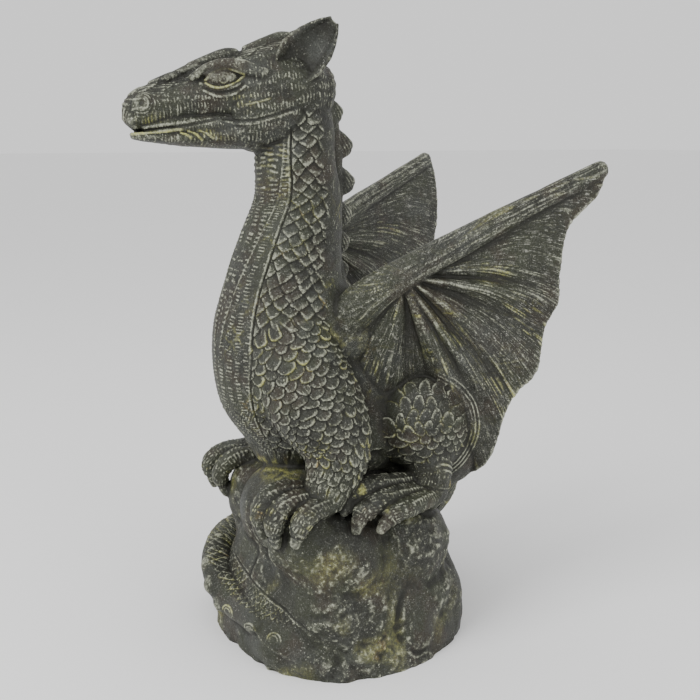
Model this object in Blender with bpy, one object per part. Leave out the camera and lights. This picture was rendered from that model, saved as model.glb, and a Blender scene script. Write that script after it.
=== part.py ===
"""Dragon statue on a rock, cast in one piece.

Blender 4.5; metres; +Z up; the dragon faces -Y and its left is +X. The origin is on the underside, below the
middle of the rock. Every limb is a tube or a fan carried along a few stations; voxel remeshing melts the limbs
together, as clay is worked before it is moulded and cast.
"""

import math

import bpy
import numpy as np
from mathutils import Matrix, Vector

# Driving dimensions of the casting.
HEAD_TURN = 15.0        # degrees, the head turned to the dragon's right
WING_THICK = 0.009      # membrane, as cast

BODY_VOXEL = 0.0030     # the first remesh, which melts trunk, thighs and shoulders into one
BODY_SMOOTHING = 22     # passes that run them into each other
ROCK_SMOOTHING = 14     # passes that run the boulders into each other
VOXEL = 0.0020          # the second remesh, with head, wings, hands, feet, tail and rock
SMOOTHING = 4           # passes over the whole skin
TRIANGLES = 9300        # what the finished skin is thinned to

NOTCH = (0.113, -0.040, 0.011)  # the middle of the hollow in the rock's foot
SIDE = np.array((1.0, 0.0, 0.0))  # the way a tube's width points, as far as its course lets it


def clear_scene():
    """Starts from an empty scene."""
    for item in list(bpy.data.objects):
        bpy.data.objects.remove(item)


def curve_through(stations, count):
    """Rows of numbers made into `count` rows on a Catmull-Rom curve through them, evenly by chord length."""
    rows = np.array(stations, float)
    chord = np.linalg.norm(np.diff(rows[:, :3], axis=0), axis=1) ** 0.5
    knots = np.concatenate([[0.0], np.cumsum(chord)])
    slopes = np.gradient(rows, knots, axis=0)
    at = np.linspace(0.0, knots[-1], count)
    k = np.clip(np.searchsorted(knots, at, side="right") - 1, 0, len(rows) - 2)
    span = (knots[k + 1] - knots[k])[:, None]
    t = ((at - knots[k])[:, None]) / span
    return (
        (2 * t**3 - 3 * t**2 + 1) * rows[k]
        + (t**3 - 2 * t**2 + t) * span * slopes[k]
        + (3 * t**2 - 2 * t**3) * rows[k + 1]
        + (t**3 - t**2) * span * slopes[k + 1]
    )


def grid_faces(rings, around):
    """Quads between neighbouring rings, each ring closed on itself, and a fan to a pole at each end."""
    faces = []
    for i in range(rings - 1):
        for j in range(around):
            a, b = i * around + j, i * around + (j + 1) % around
            faces.append((a, b, b + around, a + around))
    first, last, top = rings * around, rings * around + 1, (rings - 1) * around
    for j in range(around):
        faces.append((first, (j + 1) % around, j))
        faces.append((last, top + j, top + (j + 1) % around))
    return faces


class Clay:
    """The closed shapes that are melted into one skin."""

    def __init__(self):
        self.points = []
        self.faces = []

    def add(self, points, faces):
        """Takes one closed shape."""
        start = len(self.points)
        self.points.extend(tuple(p) for p in points)
        self.faces.extend(tuple(start + i for i in face) for face in faces)


def tube(stations, rings=24, around=20, cap=1.0):
    """A closed tube through stations (x, y, z, half width, half depth across that), with round ends."""
    rows = curve_through(stations, rings)
    centres = rows[:, :3]
    ahead = np.gradient(centres, axis=0)
    ahead /= np.linalg.norm(ahead, axis=1)[:, None]
    wide = SIDE - ahead * (ahead @ SIDE)[:, None]
    wide /= np.linalg.norm(wide, axis=1)[:, None]
    deep = np.cross(ahead, wide)
    turns = np.linspace(0.0, 2 * math.pi, around, endpoint=False)
    cap_angles = np.radians((72.0, 50.0, 25.0))
    loops = []
    poles = []

    def loop(row, centre, share):
        w, d = rows[row, 3] * share, rows[row, 4] * share
        return centre + np.outer(np.cos(turns) * w, wide[row]) + np.outer(np.sin(turns) * d, deep[row])

    for row, sign in ((0, -1.0), (rings - 1, 1.0)):
        reach = cap * min(rows[row, 3], rows[row, 4]) * sign
        poles.append(centres[row] + ahead[row] * reach)
    for angle in cap_angles:
        reach = cap * min(rows[0, 3], rows[0, 4])
        loops.append(loop(0, centres[0] - ahead[0] * reach * math.sin(angle), math.cos(angle)))
    loops.extend(loop(row, centres[row], 1.0) for row in range(rings))
    for angle in cap_angles[::-1]:
        reach = cap * min(rows[-1, 3], rows[-1, 4])
        loops.append(loop(rings - 1, centres[-1] + ahead[-1] * reach * math.sin(angle), math.cos(angle)))
    points = np.concatenate(loops + [np.array(poles)])
    return points, grid_faces(len(loops), around)


def ball(centre, radii, rings=14, around=20):
    """An ellipsoid with half axes `radii`."""
    down = np.linspace(0.0, math.pi, rings + 2)[1:-1]
    turns = np.linspace(0.0, 2 * math.pi, around, endpoint=False)
    a, b = np.meshgrid(down, turns, indexing="ij")
    unit = np.stack([np.sin(a) * np.cos(b), np.sin(a) * np.sin(b), np.cos(a)], -1).reshape(-1, 3)
    unit = np.concatenate([unit, [[0, 0, 1], [0, 0, -1]]])
    points = unit * np.array(radii) + np.array(centre)
    faces = grid_faces(rings, around)
    return points, [face[::-1] for face in faces]


def placed(points, matrix):
    """Points carried by a matrix."""
    turn = np.array(matrix.to_3x3())
    return np.asarray(points) @ turn.T + np.array(matrix.translation)


def sided(stations, hand):
    """Stations on the dragon's left (hand 1), or their mirror image on its right (hand -1)."""
    rows = np.array(stations, float)
    rows[:, 0] *= hand
    return rows


def slab(front, back):
    """A closed plate between two grids of points, with a rim round their edge."""
    rows, columns = front.shape[:2]
    count = rows * columns
    points = np.concatenate([front.reshape(-1, 3), back.reshape(-1, 3)])
    faces = []
    for i in range(rows - 1):
        for j in range(columns - 1):
            a = i * columns + j
            quad = (a, a + 1, a + columns + 1, a + columns)
            faces.append(quad)
            faces.append(tuple(count + k for k in reversed(quad)))
    rim = list(range(columns))
    rim += [i * columns + columns - 1 for i in range(1, rows)]
    rim += [(rows - 1) * columns + j for j in range(columns - 2, -1, -1)]
    rim += [i * columns for i in range(rows - 2, 0, -1)]
    for a, b in zip(rim, rim[1:] + rim[:1]):
        faces.append((b, a, count + a, count + b))
    return points, faces


def neck_and_trunk(clay):
    """The upright S of neck and chest, and the trunk that leans back from it to the rump."""
    neck = [
        (0, -0.051, 0.444, 0.028, 0.024),
        (0, -0.050, 0.420, 0.032, 0.030),
        (0, -0.050, 0.388, 0.033, 0.032),
        (0, -0.048, 0.359, 0.036, 0.035),
        (0, -0.055, 0.325, 0.042, 0.041),
        (0, -0.061, 0.295, 0.049, 0.047),
        (0, -0.063, 0.262, 0.056, 0.056),
        (0, -0.062, 0.228, 0.057, 0.058),
        (0, -0.058, 0.200, 0.054, 0.054),
        (0, -0.054, 0.172, 0.048, 0.040),
    ]
    trunk = [
        (0, -0.052, 0.225, 0.052, 0.052),
        (0, -0.020, 0.195, 0.056, 0.055),
        (0, 0.020, 0.168, 0.060, 0.052),
        (0, 0.055, 0.150, 0.058, 0.046),
        (0, 0.080, 0.140, 0.042, 0.036),
    ]
    clay.add(*tube(neck, rings=40, around=28))
    clay.add(*tube(trunk, rings=24, around=28))


def shoulders_and_thighs(clay, hand):
    """The masses at the top of the legs: shoulder and upper arm, the thigh's dome, and the hip behind it."""
    left_arm = [
        (0.030, -0.074, 0.252, 0.034, 0.034),
        (0.044, -0.068, 0.224, 0.038, 0.038),
        (0.060, -0.056, 0.194, 0.033, 0.034),
        (0.071, -0.053, 0.171, 0.026, 0.027),
        (0.077, -0.060, 0.154, 0.021, 0.021),
    ]
    right_arm = [
        (0.030, -0.068, 0.250, 0.032, 0.032),
        (0.040, -0.056, 0.222, 0.034, 0.034),
        (0.050, -0.043, 0.196, 0.030, 0.031),
        (0.055, -0.042, 0.174, 0.025, 0.026),
        (0.055, -0.050, 0.160, 0.021, 0.021),
    ]
    clay.add(*tube(sided(left_arm if hand == 1 else right_arm, hand), rings=24, around=20))
    clay.add(*ball((0.064 * hand, 0.017, 0.181), (0.032, 0.035, 0.041)))
    clay.add(*ball((0.046 * hand, 0.066, 0.158), (0.034, 0.036, 0.040)))
    clay.add(*ball((0.032 * hand, -0.022, 0.262), (0.026, 0.034, 0.032)))
    clay.add(*ball((0.036 * hand, -0.018, 0.172), (0.029, 0.044, 0.038)))


def head_frame():
    """Where the skull sits on the neck, and how it is turned."""
    joint = Matrix.Translation((0.0, -0.045, 0.0))
    return joint @ Matrix.Rotation(math.radians(-HEAD_TURN), 4, "Z")


def head_loft(rows, narrowing, cap):
    """A loft from nape to lips, narrower towards its crown. Rows: reach, foot, crown, half width."""
    stations = [
        (0, -reach, (foot + crown) / 2, half, (crown - foot) / 2) for reach, foot, crown, half in rows
    ]
    points, faces = tube(stations, rings=40, around=28, cap=cap)
    reach = -points[:, 1]
    order = sorted(rows)
    reaches = [row[0] for row in order]
    middle = np.interp(reach, reaches, [(row[1] + row[2]) / 2 for row in order])
    depth = np.interp(reach, reaches, [(row[2] - row[1]) / 2 for row in order])
    above = np.clip((points[:, 2] - middle) / depth, 0, 1)
    points[:, 0] *= 1 - narrowing * above**2
    return points, faces


def skull(clay, frame):
    """The long horse-like head: skull with upper lip, lower jaw, cheeks, brows, eyes and nostrils."""
    upper = [
        (-0.016, 0.424, 0.466, 0.027),
        (-0.008, 0.413, 0.478, 0.033),
        (0.008, 0.409, 0.484, 0.036),
        (0.030, 0.412, 0.479, 0.034),
        (0.050, 0.4160, 0.4715, 0.0295),
        (0.066, 0.4190, 0.4665, 0.0265),
        (0.080, 0.4185, 0.4590, 0.0240),
        (0.095, 0.4180, 0.4525, 0.0215),
        (0.107, 0.4160, 0.4500, 0.0205),
        (0.117, 0.4135, 0.4470, 0.0200),
        (0.1250, 0.4115, 0.4405, 0.0180),
        (0.1300, 0.4120, 0.4290, 0.0140),
    ]
    lower = [
        (-0.004, 0.4060, 0.4400, 0.0280),
        (0.020, 0.4020, 0.4400, 0.0325),
        (0.044, 0.4000, 0.4320, 0.0290),
        (0.062, 0.4005, 0.4240, 0.0255),
        (0.080, 0.4018, 0.4186, 0.0225),
        (0.094, 0.4028, 0.4174, 0.0205),
        (0.108, 0.4045, 0.4162, 0.0180),
        (0.120, 0.4060, 0.4150, 0.0165),
        (0.1300, 0.4078, 0.4140, 0.0135),
    ]
    for rows, narrowing, cap in ((upper, 0.34, 0.5), (lower, 0.0, 0.5)):
        points, faces = head_loft(rows, narrowing, cap)
        clay.add(placed(points, frame), faces)
    behind_lips = [
        (0.030, 0.404, 0.432, 0.0300),
        (0.080, 0.405, 0.431, 0.0222),
        (0.108, 0.406, 0.428, 0.0190),
        (0.121, 0.407, 0.422, 0.0150),
    ]
    points, faces = head_loft(behind_lips, 0.0, 0.4)
    clay.add(placed(points, frame), faces)
    points, faces = ball((0, -0.036, 0.409), (0.022, 0.016, 0.011))
    clay.add(placed(points, frame), faces)
    for hand in (1, -1):
        parts = (
            ball((0.018 * hand, -0.028, 0.430), (0.0205, 0.031, 0.026)),
            ball((0.0225 * hand, -0.0640, 0.4525), (0.0085, 0.0125, 0.0064)),
            ball((0.0125 * hand, -0.1205, 0.4315), (0.0085, 0.0100, 0.0100)),
            tube(brow(hand), rings=14, around=10),
            tube(under_lid(hand), rings=12, around=8),
        )
        for points, faces in parts:
            clay.add(placed(points, frame), faces)


def brow(hand):
    """The ridge over the eye, from the bridge of the nose to the temple."""
    ridge = [
        (0.0165, -0.0850, 0.4530, 0.0030, 0.0030),
        (0.0205, -0.0750, 0.4590, 0.0040, 0.0040),
        (0.0230, -0.0620, 0.4620, 0.0048, 0.0048),
        (0.0265, -0.0480, 0.4600, 0.0048, 0.0048),
        (0.0300, -0.0340, 0.4560, 0.0038, 0.0038),
    ]
    return sided(ridge, hand)


def under_lid(hand):
    """The fold under the eye."""
    fold = [
        (0.0215, -0.0800, 0.4480, 0.0016, 0.0016),
        (0.0255, -0.0660, 0.4448, 0.0022, 0.0022),
        (0.0285, -0.0520, 0.4470, 0.0018, 0.0018),
    ]
    return sided(fold, hand)


def ear(clay, frame, hand):
    """A broad cupped ear, which stands up and back from the temple and opens outwards."""
    length, thick, cup = 0.051, 0.0050, 0.0100
    shares = [0.0, 0.08, 0.3, 0.6, 0.76, 0.9, 1.0]
    front_halves = [0.0120, 0.0150, 0.0185, 0.0155, 0.0120, 0.0080, 0.0040]
    rear_halves = [0.0120, 0.0150, 0.0180, 0.0160, 0.0125, 0.0082, 0.0040]
    t, s = np.meshgrid(np.linspace(0, 1, 15), np.linspace(-1, 1, 13), indexing="ij")
    half = np.where(s > 0, np.interp(t, shares, front_halves), np.interp(t, shares, rear_halves))
    bowl = cup * (1 - s**2) * np.clip(1 - t, 0, 1) ** 0.5
    axis = Vector((0.176, 0.657, 0.733)).normalized()
    opening = Vector((0.966, -0.259, 0.0))
    opening = (opening - axis * opening.dot(axis)).normalized()
    across = opening.cross(axis)
    base = np.array((0.0320, -0.0165, 0.4560))
    plate = base + (t * length)[..., None] * np.array(axis) + (s * half)[..., None] * np.array(across)
    front = plate - bowl[..., None] * np.array(opening)
    rear = front - np.array(opening) * thick
    points, faces = slab(front, rear)
    points = points * np.array([hand, 1, 1])
    clay.add(placed(points, frame), faces if hand == 1 else [face[::-1] for face in faces])


def crest_lobe(clay, start, tip, rise, thick, frame=None):
    """One lobe of the crest: a flat tongue that swells from its root at `start` to a round end at `tip`."""
    start, tip = Vector(start), Vector(tip)
    stations = [
        (*start, thick * 0.6, rise * 0.35),
        (*start.lerp(tip, 0.4), thick * 0.9, rise * 0.75),
        (*start.lerp(tip, 0.8), thick, rise),
        (*tip, thick * 0.8, rise * 0.7),
    ]
    points, faces = tube(stations, rings=10, around=12, cap=0.6)
    clay.add(placed(points, frame) if frame else points, faces)


def crest(clay, frame):
    """The overlapping lobes along the top of the head, and the row of lobes down the back of the neck."""
    head_tips = [  # reach, height, rise and length of each lobe
        (0.008, 0.4850, 0.0060, 0.036),
        (0.050, 0.4720, 0.0060, 0.036),
        (0.076, 0.4620, 0.0050, 0.022),
        (0.094, 0.4550, 0.0040, 0.022),
    ]
    for reach, height, rise, length in head_tips:
        root = (0, -reach - length, height - length * 0.26)
        crest_lobe(clay, root, (0, -reach, height), rise, 0.0075, frame)
    ridge = [
        (0, -0.034, 0.446, 0.008, 0.009),
        (0, -0.022, 0.420, 0.009, 0.010),
        (0, -0.018, 0.370, 0.009, 0.010),
        (0, -0.020, 0.320, 0.010, 0.010),
        (0, -0.010, 0.275, 0.010, 0.010),
        (0, 0.020, 0.222, 0.009, 0.009),
        (0, 0.066, 0.184, 0.008, 0.008),
    ]
    clay.add(*tube(ridge, rings=30, around=12))
    neck_tips = [
        (-0.016, 0.449), (-0.008, 0.423), (0.001, 0.397), (0.003, 0.368), (0.000, 0.342), (-0.002, 0.320),
        (-0.003, 0.297), (0.008, 0.271), (0.022, 0.248), (0.042, 0.227), (0.064, 0.207),
    ]
    for y, z in neck_tips:
        crest_lobe(clay, (0, y - 0.016, z + 0.018), (0, y - 0.0080, z - 0.001), 0.0120, 0.0060)


def digit(points, thick, hand):
    """A finger or toe through its points, which thins to its claw."""
    shares = np.interp(np.linspace(0, 1, len(points)), [0, 0.5, 0.8, 1], [1.0, 1.0, 0.9, 0.55])
    rows = [(*point, thick * share, thick * share * 0.9) for point, share in zip(points, shares)]
    return tube(sided(rows, hand), rings=14, around=12)


def hands(clay):
    """Forearms, palms and the fingers hooked over the rock; the right arm reaches a little less far."""
    left_arm = [
        (0.070, -0.053, 0.174, 0.024, 0.025),
        (0.076, -0.058, 0.158, 0.020, 0.020),
        (0.080, -0.068, 0.144, 0.018, 0.017),
    ]
    right_arm = [
        (0.055, -0.046, 0.180, 0.023, 0.023),
        (0.055, -0.052, 0.158, 0.018, 0.018),
        (0.055, -0.062, 0.142, 0.015, 0.014),
    ]
    left_fingers = [
        [(0.067, -0.072, 0.140), (0.066, -0.094, 0.146), (0.065, -0.109, 0.143), (0.065, -0.116, 0.131),
         (0.065, -0.114, 0.114)],
        [(0.077, -0.072, 0.139), (0.078, -0.092, 0.142), (0.078, -0.105, 0.138), (0.078, -0.111, 0.126),
         (0.078, -0.109, 0.110)],
        [(0.088, -0.070, 0.138), (0.092, -0.085, 0.137), (0.094, -0.096, 0.129), (0.095, -0.102, 0.115)],
    ]
    right_fingers = [
        [(0.050, -0.060, 0.140), (0.060, -0.074, 0.142), (0.070, -0.089, 0.139), (0.076, -0.099, 0.128),
         (0.072, -0.097, 0.110)],
        [(0.044, -0.062, 0.139), (0.048, -0.078, 0.140), (0.053, -0.091, 0.135), (0.056, -0.098, 0.123),
         (0.053, -0.094, 0.107)],
        [(0.058, -0.056, 0.140), (0.070, -0.066, 0.140), (0.079, -0.075, 0.134), (0.083, -0.079, 0.119)],
    ]
    for hand, forearm, palm, fingers, thick in (
        (1, left_arm, (0.079, -0.076, 0.137), left_fingers, 0.0092),
        (-1, right_arm, (0.055, -0.064, 0.139), right_fingers, 0.0088),
    ):
        clay.add(*tube(sided(forearm, hand), rings=14, around=18))
        clay.add(*ball((palm[0] * hand, palm[1], palm[2]), (0.017, 0.017, 0.012)))
        for finger in fingers:
            clay.add(*digit(finger, thick, hand))


def foot(clay, hand):
    """The short shin of a folded hind leg, and three toes laid forward on the rock."""
    shin = [
        (0.070, 0.020, 0.165, 0.023, 0.023),
        (0.076, 0.024, 0.145, 0.019, 0.018),
        (0.078, 0.026, 0.128, 0.019, 0.018),
    ]
    toes = [
        [(0.073, 0.022, 0.136), (0.077, -0.004, 0.139), (0.082, -0.032, 0.143), (0.086, -0.050, 0.139),
         (0.088, -0.056, 0.129)],
        [(0.082, 0.020, 0.130), (0.089, -0.008, 0.134), (0.095, -0.032, 0.134), (0.100, -0.048, 0.129),
         (0.101, -0.053, 0.118)],
        [(0.088, 0.024, 0.127), (0.099, -0.002, 0.128), (0.104, -0.022, 0.126), (0.107, -0.035, 0.117)],
    ]
    clay.add(*tube(sided(shin, hand), rings=12, around=16))
    for toe in toes:
        clay.add(*digit(toe, 0.0092, hand))


def tail(clay):
    """The tail, which leaves the rump, goes round behind the rock and lies across its front left foot."""
    stations = [
        (0.000, 0.072, 0.140, 0.036, 0.034),
        (-0.012, 0.090, 0.104, 0.028, 0.026),
        (-0.044, 0.098, 0.070, 0.024, 0.023),
        (-0.080, 0.076, 0.056, 0.022, 0.021),
        (-0.100, 0.030, 0.052, 0.020, 0.020),
        (-0.100, -0.030, 0.052, 0.018, 0.019),
        (-0.084, -0.078, 0.048, 0.016, 0.020),
        (-0.056, -0.099, 0.047, 0.015, 0.020),
        (-0.022, -0.108, 0.038, 0.014, 0.018),
        (0.020, -0.105, 0.030, 0.012, 0.014),
        (0.054, -0.100, 0.022, 0.009, 0.009),
        (0.074, -0.092, 0.018, 0.004, 0.004),
    ]
    clay.add(*tube(stations, rings=70, around=16))
    lobes = [
        (-0.087, -0.085, 0.030), (-0.060, -0.101, 0.025), (-0.027, -0.108, 0.018), (0.020, -0.108, 0.012),
        (0.050, -0.102, 0.012),
    ]
    for centre in lobes:
        clay.add(*ball(centre, (0.012, 0.010, 0.010)))


def wing(clay, hand, wrist, edge):
    """A spread wing: its arm, the stout leading edge, and a fan of membrane from the wrist to the outer edge.

    Edge rows: x, y, z of the outer edge and how far the membrane stands forward (a ridge) or back (a valley)
    there. The fan is ruled from the wrist, its folds deepest halfway out, and it is thinner at the edge.
    """
    wrist = np.array(wrist)
    rim = curve_through(edge, 72)
    reach = np.linspace(0.04, 1, 18)[:, None, None]
    sheet = wrist + reach * (rim[None, :, :3] - wrist)
    normals = np.cross(np.gradient(sheet, axis=1), np.gradient(sheet, axis=0))
    normals /= np.linalg.norm(normals, axis=2)[..., None]
    normals *= np.sign(normals[..., :1])
    folds = rim[None, :, 3:4] * np.sin(math.pi * (0.12 + 0.76 * reach**0.8))
    sheet = sheet + normals * folds
    half = WING_THICK / 2 * (1 - 0.30 * reach**2)
    points, faces = slab(sheet - normals * half, sheet + normals * half)
    clay.add(points * np.array([hand, 1, 1]), faces if hand == 1 else [face[::-1] for face in faces])

    tip = np.array(edge[0][:3])
    shoulder = np.array((0.036, -0.032, 0.262))
    leading = [
        (*shoulder, 0.019, 0.019),
        (*(shoulder * 0.5 + wrist * 0.5 + (0.001, -0.004, 0.002)), 0.0145, 0.0160),
        (*wrist, 0.0120, 0.0130),
        (*(wrist * 0.67 + tip * 0.33 + (0, 0, 0.001)), 0.0088, 0.0110),
        (*(wrist * 0.33 + tip * 0.67 + (0, 0, 0.001)), 0.0072, 0.0085),
        (*(wrist * 0.03 + tip * 0.97), 0.0060, 0.0075),
    ]
    clay.add(*tube(sided(leading, hand), rings=30, around=14))


def wings(clay):
    """Both wings. The right one is held a little wider at the back."""
    inner = [
        (0.0910, 0.0892, 0.1690, 0.000),
        (0.0780, 0.0830, 0.1400, 0.003),
        (0.0560, 0.0740, 0.1300, 0.000),
        (0.0460, 0.0400, 0.1500, -0.003),
        (0.0440, 0.0040, 0.1950, 0.003),
        (0.0400, -0.0300, 0.2450, 0.000),
    ]
    left = [
        (0.1260, 0.1600, 0.3870, 0.000),
        (0.1250, 0.1530, 0.3660, -0.002),
        (0.1185, 0.1300, 0.3400, -0.003),
        (0.1180, 0.1240, 0.3120, -0.001),
        (0.1190, 0.1225, 0.2950, -0.004),
        (0.1195, 0.1208, 0.2830, 0.004),
        (0.1155, 0.1122, 0.2600, -0.004),
        (0.1110, 0.1085, 0.2260, 0.004),
        (0.1030, 0.0950, 0.2050, -0.004),
        (0.0970, 0.0888, 0.1884, 0.003),
    ] + inner
    right = [
        (0.1260, 0.1635, 0.3900, 0.000),
        (0.1260, 0.1690, 0.3720, -0.002),
        (0.1245, 0.1720, 0.3400, -0.001),
        (0.1220, 0.1650, 0.3050, -0.003),
        (0.1190, 0.1500, 0.2800, 0.004),
        (0.1160, 0.1300, 0.2550, -0.004),
        (0.1110, 0.1150, 0.2260, 0.004),
        (0.1030, 0.0980, 0.2050, -0.004),
        (0.0970, 0.0900, 0.1884, 0.003),
    ] + inner
    wing(clay, 1, (0.074, 0.004, 0.306), left)
    wing(clay, -1, (0.074, 0.004, 0.321), right)


def rock(clay):
    """The rock: a squarish stump that leans in towards its top, boulders on its sides, a mound in front."""
    bearings = np.radians(np.arange(0, 390, 30))
    spokes = np.array([0.104, 0.101, 0.102, 0.096, 0.096, 0.098, 0.100, 0.110, 0.114, 0.106, 0.108, 0.116, 0.104])
    around = 48
    turns = np.linspace(0, 2 * math.pi, around, endpoint=False)
    outline = np.interp(turns, bearings, spokes)
    outline = (np.roll(outline, 1) + outline * 2 + np.roll(outline, -1)) / 4
    levels = [(-0.012, 1.000), (0.000, 1.000), (0.012, 1.0), (0.030, 0.960), (0.065, 0.860), (0.092, 0.800),
              (0.108, 0.72), (0.118, 0.58), (0.124, 0.35)]
    rings = [
        np.stack([0.012 + share * outline * np.cos(turns), -0.011 + share * outline * np.sin(turns),
                  np.full(around, z)], -1)
        for z, share in levels
    ]
    grid = np.concatenate(rings + [[rings[0].mean(0), rings[-1].mean(0)]])
    clay.add(grid, grid_faces(len(levels), around))
    boulders = [
        ((0.022, -0.066, 0.113), (0.050, 0.043, 0.041)),
        ((0.062, -0.076, 0.104), (0.034, 0.036, 0.032)),
        ((-0.040, -0.060, 0.102), (0.039, 0.035, 0.040)),
        ((0.000, -0.020, 0.120), (0.064, 0.056, 0.036)),
        ((0.068, -0.056, 0.088), (0.042, 0.042, 0.040)),
        ((0.056, 0.006, 0.082), (0.050, 0.050, 0.046)),
        ((0.070, -0.046, 0.046), (0.046, 0.050, 0.042)),
        ((0.052, -0.074, 0.014), (0.046, 0.042, 0.032)),
        ((0.056, 0.020, 0.034), (0.048, 0.050, 0.044)),
        ((-0.050, 0.030, 0.086), (0.048, 0.048, 0.038)),
    ]
    for centre, radii in boulders:
        clay.add(*ball(centre, radii))


def stone():
    """Dark grey-green cast stone."""
    made = bpy.data.materials.new("cast_stone")
    made.use_nodes = True
    shader = made.node_tree.nodes["Principled BSDF"]
    shader.inputs["Base Color"].default_value = (0.055, 0.058, 0.048, 1)
    shader.inputs["Roughness"].default_value = 0.62
    shader.inputs["Metallic"].default_value = 0.0
    return made


def cutter(name, mesh_maker, location, scale, **options):
    """A guide that is only cut with: a primitive at its place and size."""
    mesh_maker(location=location, **options)
    guide = bpy.context.object
    guide.name = name
    guide.data.transform(Matrix.Diagonal((*scale, 1)))
    guide.hide_render = True
    guide.display_type = "WIRE"
    return guide


def melted(clay, name, voxel, smoothing):
    """An object whose skin is the clay's shapes run together and smoothed."""
    mesh = bpy.data.meshes.new(name)
    mesh.from_pydata(clay.points, [], clay.faces)
    made = bpy.data.objects.new(name, mesh)
    bpy.context.scene.collection.objects.link(made)
    melt = made.modifiers.new("melt", "REMESH")
    melt.mode = "VOXEL"
    melt.voxel_size = voxel
    melt.adaptivity = 0.0
    soften = made.modifiers.new("soften", "SMOOTH")
    soften.factor = 0.5
    soften.iterations = smoothing
    return made


def evaluated_skin(made):
    """The points and faces of an object as its modifiers leave it."""
    skin = made.evaluated_get(bpy.context.evaluated_depsgraph_get()).data
    points = [tuple(vertex.co) for vertex in skin.vertices]
    faces = [tuple(polygon.vertices) for polygon in skin.polygons]
    return points, faces


def cast(clay):
    """Melts the clay into one skin, thins it, cuts the underside flat and hollows the notch at the foot."""
    statue = melted(clay, "dragon_statue", VOXEL, SMOOTHING)
    statue.data.materials.append(stone())
    count = sum(len(face) - 2 for face in evaluated_skin(statue)[1])
    thin = statue.modifiers.new("thin", "DECIMATE")
    thin.ratio = TRIANGLES / count
    block = cutter("underside_cutter", bpy.ops.mesh.primitive_cube_add, (0, 0, -0.3), (0.3, 0.3, 0.3))
    hollow = cutter("notch_cutter", bpy.ops.mesh.primitive_uv_sphere_add, NOTCH, (0.010, 0.022, 0.007),
                    segments=16, ring_count=8)
    for guide in (block, hollow):
        cut = statue.modifiers.new(guide.name, "BOOLEAN")
        cut.operation = "DIFFERENCE"
        cut.solver = "EXACT"
        cut.object = guide
    statue.data.shade_smooth()
    return statue


def main():
    """Models the trunk and its masses, runs them together, adds the rest and casts the whole in one."""
    clear_scene()
    body = Clay()
    neck_and_trunk(body)
    for hand in (1, -1):
        shoulders_and_thighs(body, hand)
    first = melted(body, "body", BODY_VOXEL, BODY_SMOOTHING)
    stump = Clay()
    rock(stump)
    second = melted(stump, "stump", BODY_VOXEL, ROCK_SMOOTHING)
    clay = Clay()
    for made in (first, second):
        clay.add(*evaluated_skin(made))
        bpy.data.objects.remove(made)

    frame = head_frame()
    skull(clay, frame)
    crest(clay, frame)
    for hand in (1, -1):
        ear(clay, frame, hand)
        foot(clay, hand)
    hands(clay)
    wings(clay)
    tail(clay)
    cast(clay)


main()
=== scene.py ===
"""Garden dragon on a rock, cast in one piece: its finished skin, its patina, floor, light and camera.

+Z is up, the dragon faces -Y and its left is +X. The figure is worked out in millimetres, its meshes are in
metres. The limbs are surfaces worked out along named stations. They are melted into one skin, the carving is
raised on that skin in each limb's own coordinates, and the skin is thinned where it is plain. The finish
reads attributes that the carving leaves on the skin.
"""

import itertools
import logging
import math
from dataclasses import dataclass, field

import bmesh
import bpy
import numpy as np
from mathutils import Matrix, Vector


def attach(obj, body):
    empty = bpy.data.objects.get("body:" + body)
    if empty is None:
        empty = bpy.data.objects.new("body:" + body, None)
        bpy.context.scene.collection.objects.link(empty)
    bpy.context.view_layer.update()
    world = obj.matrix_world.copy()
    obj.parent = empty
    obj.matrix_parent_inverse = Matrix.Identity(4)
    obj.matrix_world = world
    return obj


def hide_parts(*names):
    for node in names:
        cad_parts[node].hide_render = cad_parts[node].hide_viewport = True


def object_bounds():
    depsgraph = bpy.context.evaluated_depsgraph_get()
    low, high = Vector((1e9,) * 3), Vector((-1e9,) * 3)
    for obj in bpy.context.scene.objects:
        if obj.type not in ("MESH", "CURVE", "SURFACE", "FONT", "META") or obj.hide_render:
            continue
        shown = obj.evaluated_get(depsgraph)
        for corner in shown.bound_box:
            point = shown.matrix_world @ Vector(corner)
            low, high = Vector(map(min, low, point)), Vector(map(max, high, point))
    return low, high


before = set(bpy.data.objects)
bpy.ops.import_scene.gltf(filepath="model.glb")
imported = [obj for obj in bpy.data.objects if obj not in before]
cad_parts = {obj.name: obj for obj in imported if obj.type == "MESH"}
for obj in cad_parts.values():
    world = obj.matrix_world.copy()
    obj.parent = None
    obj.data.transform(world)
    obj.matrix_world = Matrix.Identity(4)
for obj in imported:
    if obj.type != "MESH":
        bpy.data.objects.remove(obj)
CAD_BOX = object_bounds()

log = logging.getLogger("dragon")

Array = np.ndarray
Triple = tuple[float, float, float]
MM = 0.001              # a millimetre in metres
FAR = 1000.0            # stands for a limb that is nowhere near

NODE = "dragon_statue"
BODY = "root"

BODY_MELT = (3.0, 22)   # the cell and the smoothing that run trunk, thighs and shoulders together
ROCK_MELT = (3.0, 14)
SKIN_MELT = (0.9, 10)   # the melt of the whole figure


# --- Numbers over many points -------------------------------------------------

def step(low: float, high: float, value: Array) -> Array:
    """Climbs smoothly from 0 at `low` to 1 at `high`: 3t^2 - 2t^3."""
    t = np.clip((value - low) / (high - low), 0.0, 1.0)
    return t * t * (3.0 - 2.0 * t)


def hump(value: Array) -> Array:
    """A round ridge: (1 - value^2)^2 inside -1 to 1, nothing outside."""
    t = np.clip(1.0 - value * value, 0.0, 1.0)
    return t * t


def stripes(value: Array, half_width: float) -> Array:
    """Round ridges one unit apart."""
    return hump((value % 1.0 - 0.5) / half_width)


def bell(value: Array) -> Array:
    """A soft hill without an edge: exp(-value^2)."""
    return np.exp(-value * value)


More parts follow.
